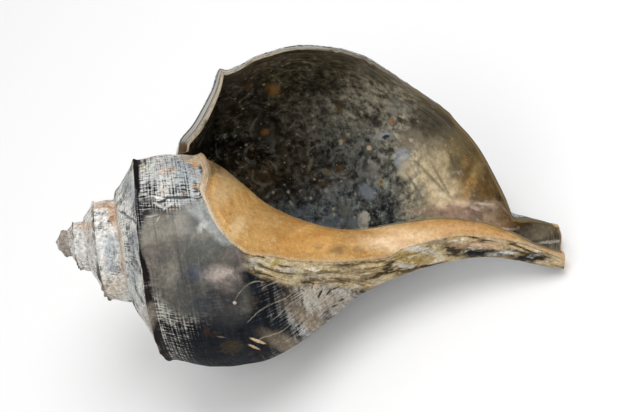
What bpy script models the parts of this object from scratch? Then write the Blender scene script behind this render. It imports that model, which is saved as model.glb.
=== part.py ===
"""A whelk shell lying on its back, mouth up: one closed solid with its spiral hollow, for Blender 4.5.

The shell is worked out in its own frame, in millimetres: x runs along the coiling axis from the apex
to the tip of the siphonal canal, and r and the angle go round that axis. A turn of 0 is the outer lip,
and -1 is one whorl earlier. It is then turned into the pose in which it lies still.
"""

import math

import bmesh
import bpy
import numpy as np
from mathutils import Matrix

MM = 0.001

# Driving dimensions, in millimetres, turns and degrees
LENGTH = 158.6
GROWTH = 2.065
LIP_DEG = 12.0
FIRST_TURN = -4.75
DEEPEST_TURN = -1.6
WALL = 2.1
CORNER_GAP = 3.2
APEX_X = -0.2
CANAL_WALL = 1.7
GUTTER_TURN = 0.30
GUTTER_START = 112.0
FLOOR_ROUNDING = 11.0
TIP_SLANT = 0.2
TIP_ROUND = 0.16
TIP_ROUND_FROM = 2.5

# Lying pose, in degrees: the roll about the coiling axis, then the pitch that lowers the canal
ROLL_DEG = 31.765
PITCH_DEG = 21.789

# Mesh divisions
TURN_STEPS = 28
HOLLOW_STEPS = 38
HOLLOW_CROWDING = 1.45
BAND_STEPS = 3
NECK_STEPS = 12
TIP_STEPS = 4

# Outline of a whorl at the lip: (along the axis, radius). The keel is at KEEL_POINT.
WHORL = (
    (38.9, 28.0), (39.6, 32.8), (43.7, 38.8), (47.4, 45.1), (50.6, 51.0), (51.4, 53.6), (52.6, 55.0),
    (54.6, 54.5), (58.7, 55.1), (66.0, 56.8), (73.4, 57.8), (80.7, 57.8), (88.0, 56.8),
    (95.3, 55.5), (102.6, 52.4), (110.0, 48.0), (117.4, 42.2), (124.7, 35.8), (132.0, 29.0),
    (139.4, 23.8), (146.7, 20.0), (154.0, 16.7), (161.0, 14.1), (169.0, 11.5), (180.0, 8.8),
    (200.0, 5.0), (240.0, 2.5), (340.0, 1.0),
)
KEEL_POINT = 6
BLEND_X = 84.0
RAMP_SAG = 1.7

# The flared edge of the outer lip: (along the axis, radius)
LIP_EDGE = (
    (52.3, 54.2), (57.6, 55.7), (62.6, 58.4), (67.6, 60.2), (77.6, 62.2), (87.7, 61.5),
    (97.7, 58.7), (102.7, 55.6), (112.7, 48.9), (122.7, 41.8), (127.7, 36.3), (132.8, 29.8),
    (137.8, 21.8), (140.3, 17.6), (142.8, 14.0), (144.0, 10.9), (145.3, 10.4), (147.8, 11.2),
    (151.5, 12.4), (155.3, 12.6), (160.0, 11.4),
)
LIP_TURN = 0.2
LIP_NOTCH = (143.0, 144.3)

# The columella and canal: (along the axis, centre above the axis, then the radius at four angles)
CANAL = (
    (0.0, 0.0, 0.6, 0.6, 0.6, 0.6),
    (60.0, 0.0, 2.0, 2.0, 2.0, 2.0),
    (86.0, 0.0, 2.8, 2.8, 2.8, 2.8),
    (96.0, 0.0, 3.9, 4.5, 5.0, 5.0),
    (108.0, 0.1, 5.9, 6.5, 8.0, 8.0),
    (121.0, 0.3, 7.3, 5.6, 9.0, 9.0),
    (133.0, 0.7, 5.7, 5.3, 8.3, 9.0),
    (143.0, -1.2, 4.4, 4.2, 7.4, 9.0),
    (150.0, -3.5, 3.2, 3.0, 6.8, 9.0),
    (156.0, -5.1, 2.5, 2.6, 6.0, 8.5),
    (160.0, -5.8, 2.1, 2.2, 5.2, 7.5),
)
CANAL_DEG = (12.0, 180.0, 270.0, 372.0)
MERGE = 3.0


def ease(low, high, x):
    """0 below low, 1 above high, and a smooth rise between them."""
    part = np.clip((x - low) / (high - low), 0.0, 1.0)
    return part * part * (3.0 - 2.0 * part)


def smooth_through(known_x, known_y, x):
    """A monotone cubic curve through the known points."""
    known_x = np.asarray(known_x, float)
    known_y = np.asarray(known_y, float)
    step = np.diff(known_x)
    slope = np.diff(known_y) / step
    product = slope[1:] * slope[:-1]
    total = slope[1:] + slope[:-1]
    inner = np.where(product > 0, 2 * product / np.where(total == 0, 1, total), 0.0)
    tangent = np.concatenate(([slope[0]], inner, [slope[-1]]))
    x = np.clip(x, known_x[0], known_x[-1])
    i = np.clip(np.searchsorted(known_x, x, side="right") - 1, 0, len(step) - 1)
    s = (x - known_x[i]) / step[i]
    start = known_y[i] * (1 + 2 * s) + tangent[i] * step[i] * s
    end = known_y[i + 1] * (3 - 2 * s) - tangent[i + 1] * step[i] * (1 - s)
    return start * (1 - s) ** 2 + end * s ** 2


def blended_max(a, b):
    """The larger of two radii, with the crease between them filled."""
    return np.maximum(a, b) + np.maximum(MERGE - np.abs(a - b), 0.0) ** 2 / (4 * MERGE)


# The whorl's outline by its length along the curve
OUTLINE = np.array(WHORL)
ALONG = np.concatenate(([0.0], np.cumsum(np.hypot(*np.diff(OUTLINE, axis=0).T))))
KEEL_X = WHORL[KEEL_POINT][0]
FINE = np.linspace(0.0, ALONG[-1], 1500)
FINE_X = smooth_through(ALONG, OUTLINE[:, 0], FINE)
FINE_R = smooth_through(ALONG, OUTLINE[:, 1], FINE)
COVER_X = GROWTH * WHORL[0][0]
COVER_R = float(np.interp(COVER_X, FINE_X, FINE_R))
FINE_R = FINE_R + (COVER_R / GROWTH - FINE_R[0]) * (1 - ease(0.0, 4.0, FINE))
LIP = np.array(LIP_EDGE)
CANAL_TABLE = np.array(CANAL)


def canal_radius(x, turn):
    """Radius of the columella and canal, whose wall swells from the inner lip round to the outer one."""
    angle = LIP_DEG + 360.0 * np.clip(turn + 1.0, 0.0, 1.0)
    at = [smooth_through(CANAL_TABLE[:, 0], CANAL_TABLE[:, 2 + k], x) for k in range(4)]
    angle = np.broadcast_to(angle, np.shape(at[0]))
    value = at[0]
    for k in range(3):
        value = value + (at[k + 1] - at[k]) * ease(CANAL_DEG[k], CANAL_DEG[k + 1], angle)
    return value


def radius(x, turn):
    """Outer radius of the whorl at a place past its keel. Before turn -1 it is the wall between whorls."""
    grown = GROWTH ** turn
    body = grown * np.interp(x / grown, FINE_X, FINE_R)
    lip = smooth_through(LIP[:, 0], LIP[:, 1], x)
    at_lip = ease(-LIP_TURN, 0.0, turn) * ease(KEEL_X * grown, KEEL_X * grown + 6.0, x)
    body = body + (lip - body) * at_lip
    merged = blended_max(body, canal_radius(x, turn))
    return merged + (body - merged) * at_lip * ease(-0.06, 0.0, turn)


def outline_steps():
    """Lengths along the outline: its own points up to the keel, then steps to the next suture and the blend."""
    cover = float(np.interp(COVER_X, FINE_X, FINE))
    blend = float(np.interp(BLEND_X, FINE_X, FINE))
    band = np.linspace(ALONG[KEEL_POINT + 1], cover, BAND_STEPS + 1)[1:]
    return np.concatenate((ALONG[: KEEL_POINT + 2], band, [blend]))


def tail_steps():
    """Places from the blend to the canal's tip, as shares, with one on each side of the notch in the lip."""
    neck = np.linspace(BLEND_X, LIP_NOTCH[0], NECK_STEPS + 1)[1:]
    tip = np.linspace(LIP_NOTCH[1], LENGTH, TIP_STEPS + 1)
    return (np.concatenate((neck, tip)) - BLEND_X) / (LENGTH - BLEND_X)


STEPS = outline_steps()
COVER_INDEX = KEEL_POINT + 1 + BAND_STEPS
TAIL = tail_steps()


def section(turn, end_x):
    """The whorl's outline at a turn, from its suture to end_x, as columns (x, r)."""
    grown = GROWTH ** turn
    near_x = grown * np.interp(STEPS, FINE, FINE_X)
    near_r = grown * np.interp(STEPS, FINE, FINE_R)
    past = near_x > grown * KEEL_X * 1.0001
    sag = RAMP_SAG * ease(-LIP_TURN, 0.0, turn) * np.sin(math.pi * STEPS / ALONG[KEEL_POINT])
    near_r = np.where(past, radius(near_x, turn), near_r - sag)
    tail_x = near_x[-1] + (end_x - near_x[-1]) * TAIL
    return np.column_stack((np.append(near_x, tail_x), np.append(near_r, radius(tail_x, turn))))


def in_space(x, r, turn):
    """Points in the shell's frame: along the axis, up the picture and out of it."""
    angle = math.radians(LIP_DEG) + 2 * math.pi * turn
    centre = smooth_through(CANAL_TABLE[:, 0], CANAL_TABLE[:, 1], x)
    up = centre + r * np.cos(angle)
    out = r * np.sin(angle)
    cut = TIP_SLANT * np.minimum(up, 0.0) + TIP_ROUND * np.maximum(up - TIP_ROUND_FROM, 0.0) ** 2
    slanted = x - cut * ease(140.0, 160.0, x)
    return np.stack(np.broadcast_arrays(slanted, up, out), axis=-1)


def wall_at(x, turn):
    """Thickness of the wall: thick at the ramp, thin at the lip's edge, and thinner in older whorls."""
    edge = 1.3 + 1.9 * (1 - ease(44.0, 58.0, x)) + (CANAL_WALL - 1.3) * ease(132.0, 145.0, x)
    grown = GROWTH ** (0.5 * turn)
    inside = WALL + (CANAL_WALL - WALL) * ease(118.0, 135.0, x)
    return edge + (inside * grown - edge) * ease(0.0, 0.06, -turn)


def floor_closeness(x, turn):
    """1 away from the hollow's far end and falling to 0 where its floor is, in a round sweep."""
    end_x = hollow_end(turn)
    aside = np.maximum(turn + GUTTER_TURN, 0.0) / (0.6 * GUTTER_TURN)
    ahead = np.maximum(end_x - x, 0.0) / FLOOR_ROUNDING
    near = np.clip(np.hypot(aside, ahead), 0.0, 1.0)
    return np.sqrt(1 - (1 - near) ** 2)


def hollow_end(turn):
    """How far along the axis the hollow reaches at a turn, past the stretch of open canal."""
    return GUTTER_START * GROWTH ** np.minimum(turn + GUTTER_TURN, 0.0)


def outer_face(x, turn):
    """Radius of the hollow's outer side at a place past the keel."""
    here = radius(x, turn)
    slope = radius(x + 0.5, turn) - radius(x - 0.5, turn)
    thick = wall_at(x, turn) * np.sqrt(1 + np.clip(slope, -1.6, 1.6) ** 2)
    inner = radius(x, turn - 1.0)
    gap = np.maximum(here - thick - inner, 0.2)
    return inner + gap * floor_closeness(x, turn)


def hollow_loop(turn, corner_x, bend):
    """One closed loop round the hollow: out along the outer side, round the far end, back along the inner.

    corner_x is how far it reaches along the axis, and bend the length over which it turns there.
    """
    start_x = corner_x - bend
    outline = section(turn, start_x)
    grown = GROWTH ** turn
    along = np.gradient(outline, axis=0)
    along /= np.linalg.norm(along, axis=1)[:, None]
    inward = np.column_stack((along[:, 1], -along[:, 0]))
    moved = outline + inward * wall_at(outline[:, 0], turn)[:, None]
    past = outline[:, 0] > grown * (KEEL_X + 12.0)
    flat = np.column_stack((outline[:, 0], outer_face(outline[:, 0], turn)))
    outer = np.where(past[:, None], flat, moved)
    open_part = ease(0.0, 0.05, -turn)
    corner = outline[0, 0] + CORNER_GAP * max(grown, 0.3) * open_part
    inner_x = section(turn - 1.0, start_x)[COVER_INDEX:, 0]
    inner_x = corner + (inner_x - inner_x[0]) * (start_x - corner) / (start_x - inner_x[0])
    inner_r = radius(inner_x, turn - 1.0)
    outer[0] = (inner_x[0], inner_r[0])
    if open_part == 0.0:
        outer[0] = outline[0]
        inner_r[0] = outline[0, 1]
    points = [in_space(outer[:, 0], outer[:, 1], turn)]
    depth = GUTTER_TURN + min(max(turn, -GUTTER_TURN), 0.0)
    share = np.linspace(0.0, 1.0, TURN_STEPS + 1)[1:-1]
    there = share < GUTTER_TURN
    part = np.where(there, share / GUTTER_TURN, (1 - share) / (1 - GUTTER_TURN))
    bend_angle = part * math.pi / 2
    turn_at = turn - depth * (1 - np.cos(bend_angle))
    x_at = start_x + bend * np.sin(bend_angle)
    side_out = np.array([outer_face(x, t) for x, t in zip(x_at, turn_at)])
    side_in = np.array([radius(x, t - 1.0) for x, t in zip(x_at, turn_at)])
    r_at = np.where(there, side_out, side_in)
    points.append(np.array([in_space(*p) for p in zip(x_at, r_at, turn_at)]))
    points.append(in_space(inner_x[::-1], inner_r[::-1], turn))
    return np.concatenate(points)


def edge_loop(outside):
    """The loop where the outside ends: down the outer lip, round the canal's tip, up the inner lip."""
    return np.concatenate((outside[0], outside[1:-1, -1], outside[-1, COVER_INDEX:][::-1]))


def hollow_turns():
    """Turns of the hollow's loops, closer together just inside the lip."""
    share = np.arange(1, HOLLOW_STEPS + 1) / HOLLOW_STEPS
    return np.append(0.0, DEEPEST_TURN * share ** HOLLOW_CROWDING)


def hollow_points(outside):
    loops = [edge_loop(outside)]
    for turn in hollow_turns():
        reach = ease(0.0, 1.0, min(-turn / GUTTER_TURN, 1.0))
        in_canal = LENGTH - (LENGTH - GUTTER_START) * reach
        corner_x = in_canal if turn > -GUTTER_TURN else hollow_end(turn)
        bend = 0.8 * FLOOR_ROUNDING * min(-turn / GUTTER_TURN, 1.0)
        loops.append(hollow_loop(turn, corner_x, bend))
    return np.array(loops)


def outside_points():
    """The last whorl, from the outer lip back to the inner one, from suture to canal tip."""
    turns = -np.arange(TURN_STEPS + 1) / TURN_STEPS
    rows = []
    for turn in turns:
        outline = section(turn, LENGTH)
        rows.append(in_space(outline[:, 0], outline[:, 1], turn))
    return np.array(rows)


def spire_points():
    """The older whorls, from suture to suture, back to the first one."""
    count = round((-1.0 - FIRST_TURN) * TURN_STEPS)
    rows = []
    for k in range(count + 1):
        turn = -1.0 - k / TURN_STEPS
        lengths = STEPS[: COVER_INDEX + 1]
        grown = GROWTH ** turn
        x = grown * np.interp(lengths, FINE, FINE_X)
        r = grown * np.interp(lengths, FINE, FINE_R)
        rows.append(in_space(x, r, turn))
    return np.array(rows)


def add_sheet(bm, points):
    """A grid of quads whose corners are moved onto the given points."""
    rows, columns = points.shape[:2]
    made = bmesh.ops.create_grid(bm, x_segments=columns - 1, y_segments=rows - 1, size=1.0)
    for v in made["verts"]:
        i = round((v.co.y + 1) / 2 * (rows - 1))
        j = round((v.co.x + 1) / 2 * (columns - 1))
        v.co = points[i, j] * MM


def close_ends(bm):
    """Closes the apex and the deep end of the hollow, each with a fan of faces."""
    loose = [e for e in bm.edges if e.is_boundary]
    made = bmesh.ops.holes_fill(bm, edges=loose, sides=0)
    middles = bmesh.ops.poke(bm, faces=made["faces"])["verts"]
    apex = min(middles, key=lambda v: v.co.x)
    apex.co = (APEX_X * MM, 0.0, 0.0)


def lying_pose():
    roll = Matrix.Rotation(math.radians(ROLL_DEG), 4, "X")
    pitch = Matrix.Rotation(math.radians(PITCH_DEG), 4, "Y")
    return pitch @ roll


def shell_material():
    material = bpy.data.materials.new("shell")
    material.use_nodes = True
    surface = material.node_tree.nodes["Principled BSDF"]
    surface.inputs["Base Color"].default_value = (0.26, 0.25, 0.235, 1.0)
    surface.inputs["Roughness"].default_value = 0.5
    surface.inputs["Metallic"].default_value = 0.0
    return material


def build_shell():
    outside = outside_points()
    bm = bmesh.new()
    add_sheet(bm, outside)
    add_sheet(bm, spire_points())
    add_sheet(bm, hollow_points(outside))
    bmesh.ops.remove_doubles(bm, verts=bm.verts, dist=0.00002)
    close_ends(bm)
    bmesh.ops.recalc_face_normals(bm, faces=bm.faces)
    bm.transform(lying_pose())
    low = [min(v.co[k] for v in bm.verts) for k in range(3)]
    high = [max(v.co[k] for v in bm.verts) for k in range(3)]
    middle = ((low[0] + high[0]) / 2, (low[1] + high[1]) / 2, low[2])
    bm.transform(Matrix.Translation(middle).inverted())
    mesh = bpy.data.meshes.new("shell")
    bm.to_mesh(mesh)
    bm.free()
    mesh.shade_smooth()
    mesh.set_sharp_from_angle(angle=math.radians(40.0))
    mesh.materials.append(shell_material())
    shell = bpy.data.objects.new("shell", mesh)
    bpy.context.scene.collection.objects.link(shell)


def main():
    for obj in list(bpy.data.objects):
        bpy.data.objects.remove(obj)
    build_shell()


main()
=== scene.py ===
"""The whelk shell's look: a finer mesh over the frame, its markings, the floor, lights and camera.

The shell is worked out in its own frame, in millimetres, as the frame's solid is: x runs along the
coiling axis from the apex to the canal's tip, "up" is up the picture and "out" is out of it. A turn of
0 is the outer lip and -1 is one whorl earlier. It is then turned into the pose in which it lies.
"""

import math

import bmesh
import bpy
import numpy as np
from mathutils import Matrix, Vector


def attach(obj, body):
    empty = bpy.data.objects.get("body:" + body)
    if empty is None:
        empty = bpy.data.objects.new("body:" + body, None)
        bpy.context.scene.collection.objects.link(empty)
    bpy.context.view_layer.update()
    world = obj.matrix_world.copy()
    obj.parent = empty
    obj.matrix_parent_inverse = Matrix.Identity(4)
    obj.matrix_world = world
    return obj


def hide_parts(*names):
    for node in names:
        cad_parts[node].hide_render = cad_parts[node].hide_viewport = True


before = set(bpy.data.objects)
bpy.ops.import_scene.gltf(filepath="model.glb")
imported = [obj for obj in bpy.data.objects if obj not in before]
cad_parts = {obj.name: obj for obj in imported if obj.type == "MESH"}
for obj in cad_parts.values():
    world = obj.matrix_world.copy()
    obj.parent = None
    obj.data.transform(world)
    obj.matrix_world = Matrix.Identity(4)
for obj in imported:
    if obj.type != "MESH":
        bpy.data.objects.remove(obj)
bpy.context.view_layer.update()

MM = 0.001
LENGTH = 158.2
GROWTH = 2.065
LIP_DEG = 12.0
FIRST_TURN = -4.75
DEEPEST_TURN = -1.6
WALL = 2.1
CORNER_GAP = 3.2
CANAL_WALL = 1.7
GUTTER_TURN = 0.30
GUTTER_START = 112.0
FLOOR_ROUNDING = 11.0
TIP_SLANT = 0.2
TIP_ROUND = 0.16
TIP_ROUND_FROM = 2.5
TIP_SWELL = 1.1
TIP_SWELL_AT = 1.4
TIP_FROM = 140.0
TIP_AT = 160.0
APEX_X = 0.5
LIP_WALL = 1.3

# Lying pose, in degrees, and the point of the shell's frame that lands on the row's origin
ROLL_DEG = 31.765
PITCH_DEG = 21.789
ORIGIN = (74.062, 10.004, -66.97)

# Mesh divisions
TURN_STEPS = 180
HOLLOW_STEPS = 60
HOLLOW_CROWDING = 1.45
END_CROWDING = 0.5
RIM = 0.02
RIM_ROUND = 0.35
WELD = 0.004

# The sheets that the mesh is made of. A vertex whose kind is above IN_HOLLOW belongs to the hollow.
WHORL_SHEET, SPIRE_SHEET, HOLLOW_SHEET = 0.0, 1.0, 2.0
IN_HOLLOW = 1.5

# The picture's frame: the camera's distance and aim in the shell's frame, and the picture's scale
SIGHT = 548.0
AIM = (81.7, 11.3)
PICTURE_MIDDLE = (315.0, 206.0)
MM_PER_PIXEL = 0.3131
LENS = 100.0
SENSOR = 36.0

# The light: (name, place in the shell's frame in millimetres, width in metres, watts)
LIGHTS = (("key", (20.0, 330.0, 420.0), 0.35, 1.6), ("fill", (-200.0, -60.0, 380.0), 0.5, 0.4))
LIGHT_AIM = (75.0, 0.0, 0.0)
SKY = 0.6
FLOOR_REACH = 3.0

# How deep the fine grain is, in metres, and how dull the surfaces are
OUTSIDE_GRAIN = 0.00035
INSIDE_GRAIN = 0.0004
COAT_ROUGHNESS = 0.22
SPECULAR = 0.09

# Outline of a whorl at the lip: (along the axis, radius). The keel is at KEEL_POINT.
WHORL = (
    (38.9, 28.0), (39.6, 32.8), (43.7, 38.8), (47.4, 45.1), (50.6, 51.0), (51.4, 53.6), (52.6, 55.0),
    (54.6, 54.5), (58.7, 55.1), (66.0, 56.8), (73.4, 57.8), (80.7, 57.8), (88.0, 56.8),
    (95.3, 55.5), (102.6, 52.4), (110.0, 48.0), (117.4, 42.2), (124.7, 35.8), (132.0, 29.0),
    (139.4, 23.8), (146.7, 20.0), (154.0, 16.7), (161.0, 14.1), (169.0, 11.5), (180.0, 8.8),
    (200.0, 5.0), (240.0, 2.5), (340.0, 1.0),
)
KEEL_POINT = 6
BLEND_X = 84.0
RAMP_SAG = 1.7

# The flared edge of the outer lip: (along the axis, radius)
LIP_EDGE = (
    (52.3, 54.2), (57.6, 55.7), (62.6, 58.4), (67.6, 60.2), (77.6, 62.2), (87.7, 61.5),
    (97.7, 58.7), (102.7, 55.6), (112.7, 48.9), (122.7, 41.8), (127.7, 36.3), (132.8, 29.8),
    (137.8, 21.8), (140.3, 17.6), (142.8, 14.0), (144.0, 10.9), (145.3, 10.4), (147.8, 11.2),
    (151.5, 12.4), (155.3, 12.6), (160.0, 11.4),
)
LIP_TURN = 0.2

# The columella and canal: (along the axis, centre above the axis, then the radius at four angles)
CANAL = (
    (0.0, 0.0, 0.6, 0.6, 0.6, 0.6),
    (60.0, 0.0, 2.0, 2.0, 2.0, 2.0),
    (86.0, 0.0, 2.8, 2.8, 2.8, 2.8),
    (96.0, 0.0, 3.9, 4.5, 5.0, 5.0),
    (108.0, 0.1, 5.9, 6.5, 8.0, 8.0),
    (121.0, 0.3, 7.3, 5.6, 9.0, 9.0),
    (133.0, 0.7, 5.7, 5.3, 8.3, 9.0),
    (143.0, -1.2, 4.4, 4.2, 7.4, 9.0),
    (150.0, -3.5, 3.2, 3.0, 6.8, 9.0),
    (156.0, -5.1, 2.5, 2.6, 6.0, 8.5),
    (160.0, -5.8, 2.1, 2.2, 5.2, 7.5),
)
CANAL_DEG = (12.0, 180.0, 270.0, 372.0)
MERGE = 3.0

# Lines in the picture, in its pixels: the callus's edge on the body, the strands below the columella
# and the fold across the start of the canal
CALLUS_EDGE = (
    (183, 147), (193, 153), (200, 161), (203, 172), (201, 182), (199, 193), (202, 204), (208, 217),
    (217, 231), (227, 242), (240, 251), (255, 259), (280, 262), (310, 263), (350, 262), (390, 257),
)
STRANDS_TOP = (
    (240, 250), (260, 256), (290, 262), (330, 262), (370, 260), (400, 252), (430, 242), (460, 238),
    (480, 237), (500, 240), (530, 250), (560, 260),
)
STRANDS_BOTTOM = (
    (240, 262), (270, 275), (300, 281), (330, 281), (360, 283), (400, 276), (430, 265), (460, 260),
    (500, 260), (530, 263), (560, 268),
)
CANAL_FOLD = ((408, 221), (425, 216), (442, 210), (460, 206), (478, 203), (495, 206), (508, 213))


def ease(low, high, x):
    """0 below low, 1 above high, and a smooth rise between them."""
    part = np.clip((x - low) / (high - low), 0.0, 1.0)
    return part * part * (3.0 - 2.0 * part)


def bump(value, width):
    """1 where the value is 0, and falling to 0 on both sides."""
    return np.exp(-((value / width) ** 2))


def smooth_through(known_x, known_y, x):
    """A monotone cubic curve through the known points."""
    known_x = np.asarray(known_x, float)
    known_y = np.asarray(known_y, float)
    step = np.diff(known_x)
    slope = np.diff(known_y) / step
    product = slope[1:] * slope[:-1]
    total = slope[1:] + slope[:-1]
    inner = np.where(product > 0, 2 * product / np.where(total == 0, 1, total), 0.0)
    tangent = np.concatenate(([slope[0]], inner, [slope[-1]]))
    x = np.clip(x, known_x[0], known_x[-1])
    i = np.clip(np.searchsorted(known_x, x, side="right") - 1, 0, len(step) - 1)
    s = (x - known_x[i]) / step[i]
    start = known_y[i] * (1 + 2 * s) + tangent[i] * step[i] * s
    end = known_y[i + 1] * (3 - 2 * s) - tangent[i + 1] * step[i] * (1 - s)
    return start * (1 - s) ** 2 + end * s ** 2


def blended_max(a, b):
    """The larger of two radii, with the crease between them filled."""
    return np.maximum(a, b) + np.maximum(MERGE - np.abs(a - b), 0.0) ** 2 / (4 * MERGE)


# The whorl's outline by its length along the curve
OUTLINE = np.array(WHORL)
ALONG = np.concatenate(([0.0], np.cumsum(np.hypot(*np.diff(OUTLINE, axis=0).T))))
KEEL_X = WHORL[KEEL_POINT][0]
FINE = np.linspace(0.0, ALONG[-1], 3000)
FINE_X = smooth_through(ALONG, OUTLINE[:, 0], FINE)
FINE_R = smooth_through(ALONG, OUTLINE[:, 1], FINE)
COVER_X = GROWTH * WHORL[0][0]
COVER_R = float(np.interp(COVER_X, FINE_X, FINE_R))
FINE_R = FINE_R + (COVER_R / GROWTH - FINE_R[0]) * (1 - ease(0.0, 4.0, FINE))
LIP = np.array(LIP_EDGE)
CANAL_TABLE = np.array(CANAL)


def canal_radius(x, turn):
    """Radius of the columella and canal, whose wall swells from the inner lip round to the outer one."""
    angle = LIP_DEG + 360.0 * np.clip(turn + 1.0, 0.0, 1.0)
    at = [smooth_through(CANAL_TABLE[:, 0], CANAL_TABLE[:, 2 + k], x) for k in range(4)]
    angle = np.broadcast_to(angle, np.shape(at[0]))
    value = at[0]
    for k in range(3):
        value = value + (at[k + 1] - at[k]) * ease(CANAL_DEG[k], CANAL_DEG[k + 1], angle)
    return value


def radius(x, turn):
    """Outer radius of the whorl at a place past its keel. Before turn -1 it is the wall between whorls."""
    grown = GROWTH ** turn
    body = grown * np.interp(x / grown, FINE_X, FINE_R)
    lip = smooth_through(LIP[:, 0], LIP[:, 1], x)
    at_lip = ease(-LIP_TURN, 0.0, turn) * ease(KEEL_X * grown, KEEL_X * grown + 6.0, x)
    body = body + (lip - body) * at_lip
    merged = blended_max(body, canal_radius(x, turn))
    return merged + (body - merged) * at_lip * ease(-0.06, 0.0, turn)


def outline_steps():
    """Lengths along the outline from the suture, crowded at the keel, and where the next suture lies."""
    keel = ALONG[KEEL_POINT]
    cover = float(np.interp(COVER_X, FINE_X, FINE))
    blend = float(np.interp(BLEND_X, FINE_X, FINE))
    ramp = np.linspace(0.0, keel - 4.0, 15)
    crest = np.linspace(keel - 4.0, keel + 4.0, 13)[1:]
    band = np.linspace(keel + 4.0, cover, 19)[1:]
    past = np.linspace(cover, blend, 5)[1:]
    return np.concatenate((ramp, crest, band, past)), len(ramp) + len(crest) + len(band) - 1


STEPS, COVER_INDEX = outline_steps()
TAIL = np.concatenate((
    np.linspace(0.0, 0.79, 88)[1:],
    np.linspace(0.79, 0.81, 6)[1:],
    np.linspace(0.81, 1.0, 27)[1:],
))


def section(turn, end_x):
    """The whorl's outline at a turn, from its suture to end_x, as columns (x, r)."""
    grown = GROWTH ** turn
    near_x = grown * np.interp(STEPS, FINE, FINE_X)
    near_r = grown * np.interp(STEPS, FINE, FINE_R)
    past = near_x > grown * KEEL_X * 1.0001
    on_ramp = np.minimum(STEPS / ALONG[KEEL_POINT], 1.0)
    sag = RAMP_SAG * ease(-LIP_TURN, 0.0, turn) * np.sin(math.pi * on_ramp)
    near_r = np.where(past, radius(near_x, turn), near_r - sag)
    tail_x = near_x[-1] + (end_x - near_x[-1]) * TAIL
    return np.column_stack((np.append(near_x, tail_x), np.append(near_r, radius(tail_x, turn))))


def in_space(x, r, turn):
    """Points in the shell's frame: along the axis, up the picture and out of it."""
    angle = math.radians(LIP_DEG) + 2 * math.pi * turn
    centre = smooth_through(CANAL_TABLE[:, 0], CANAL_TABLE[:, 1], x)
    up = centre + r * np.cos(angle)
    out = r * np.sin(angle)
    cut = TIP_SLANT * np.minimum(up, 0.0) + TIP_ROUND * np.maximum(up - TIP_ROUND_FROM, 0.0) ** 2
    swell = TIP_SWELL * bump(up - TIP_SWELL_AT, 2.4) * ease(151.0, TIP_AT, x)
    slanted = x - cut * ease(TIP_FROM, TIP_AT, x) + swell
    return np.stack(np.broadcast_arrays(slanted, up, out), axis=-1)


def wall_at(x, turn):
    """Thickness of the wall: thick at the ramp, thin at the lip's edge, and thinner in older whorls."""
    edge = LIP_WALL + 1.9 * (1 - ease(44.0, 58.0, x)) + (CANAL_WALL - LIP_WALL) * ease(132.0, 145.0, x)
    grown = GROWTH ** (0.5 * turn)
    inside = WALL + (CANAL_WALL - WALL) * ease(118.0, 135.0, x)
    return edge + (inside * grown - edge) * ease(0.0, 0.06, -turn)


def hollow_end(turn):
    """How far along the axis the hollow reaches at a turn, past the stretch of open canal."""
    return GUTTER_START * GROWTH ** np.minimum(turn + GUTTER_TURN, 0.0)


def floor_closeness(x, turn):
    """1 away from the hollow's far end and falling to 0 where its floor is, in a round sweep."""
    aside = np.maximum(turn + GUTTER_TURN, 0.0) / (0.6 * GUTTER_TURN)
    ahead = np.maximum(hollow_end(turn) - x, 0.0) / FLOOR_ROUNDING
    near = np.clip(np.hypot(aside, ahead), 0.0, 1.0)
    return np.sqrt(1 - (1 - near) ** 2)


def outer_face(x, turn):
    """Radius of the hollow's outer side at a place past the keel."""
    here = radius(x, turn)
    slope = radius(x + 0.5, turn) - radius(x - 0.5, turn)
    thick = wall_at(x, turn) * np.sqrt(1 + np.clip(slope, -1.6, 1.6) ** 2)
    inner = radius(x, turn - 1.0)
    gap = np.maximum(here - thick - inner, 0.2)
    return inner + gap * floor_closeness(x, turn)


def hollow_loop(turn, corner_x, bend):
    """One closed loop round the hollow: out along its outer side, round its end, back along the inner.

    corner_x is how far it reaches along the axis, and bend the length over which it turns there.
    """
    start_x = corner_x - bend
    outline = section(turn, start_x)
    grown = GROWTH ** turn
    along = np.gradient(outline, axis=0)
    along /= np.linalg.norm(along, axis=1)[:, None]
    inward = np.column_stack((along[:, 1], -along[:, 0]))
    moved = outline + inward * wall_at(outline[:, 0], turn)[:, None]
    past = outline[:, 0] > grown * (KEEL_X + 12.0)
    flat = np.column_stack((outline[:, 0], outer_face(outline[:, 0], turn)))
    outer = np.where(past[:, None], flat, moved)
    open_part = ease(0.0, 0.05, -turn)
    corner = outline[0, 0] + CORNER_GAP * max(grown, 0.3) * open_part
    inner_x = section(turn - 1.0, start_x)[COVER_INDEX:, 0]
    inner_x = corner + (inner_x - inner_x[0]) * (start_x - corner) / (start_x - inner_x[0])
    inner_r = radius(inner_x, turn - 1.0)
    outer[0] = (inner_x[0], inner_r[0])
    if open_part == 0.0:
        outer[0] = outline[0]
        inner_r[0] = outline[0, 1]
    points = [in_space(outer[:, 0], outer[:, 1], turn)]
    depth = GUTTER_TURN + min(max(turn, -GUTTER_TURN), 0.0)
    share = -turns_back(TURN_STEPS)[1:-1]
    there = share < GUTTER_TURN
    part = np.where(there, share / GUTTER_TURN, (1 - share) / (1 - GUTTER_TURN))
    bend_angle = part * math.pi / 2
    turn_at = turn - depth * (1 - np.cos(bend_angle))
    x_at = start_x + bend * np.sin(bend_angle)
    side_out = outer_face(x_at, turn_at)
    side_in = radius(x_at, turn_at - 1.0)
    points.append(in_space(x_at, np.where(there, side_out, side_in), turn_at))
    points.append(in_space(inner_x[::-1], inner_r[::-1], turn))
    return np.concatenate(points)


def edge_loop(outside):
    """The loop where the outside ends: down the outer lip, round the canal's tip, up the inner lip."""
    return np.concatenate((outside[0], outside[1:-1, -1], outside[-1, COVER_INDEX:][::-1]))


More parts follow.
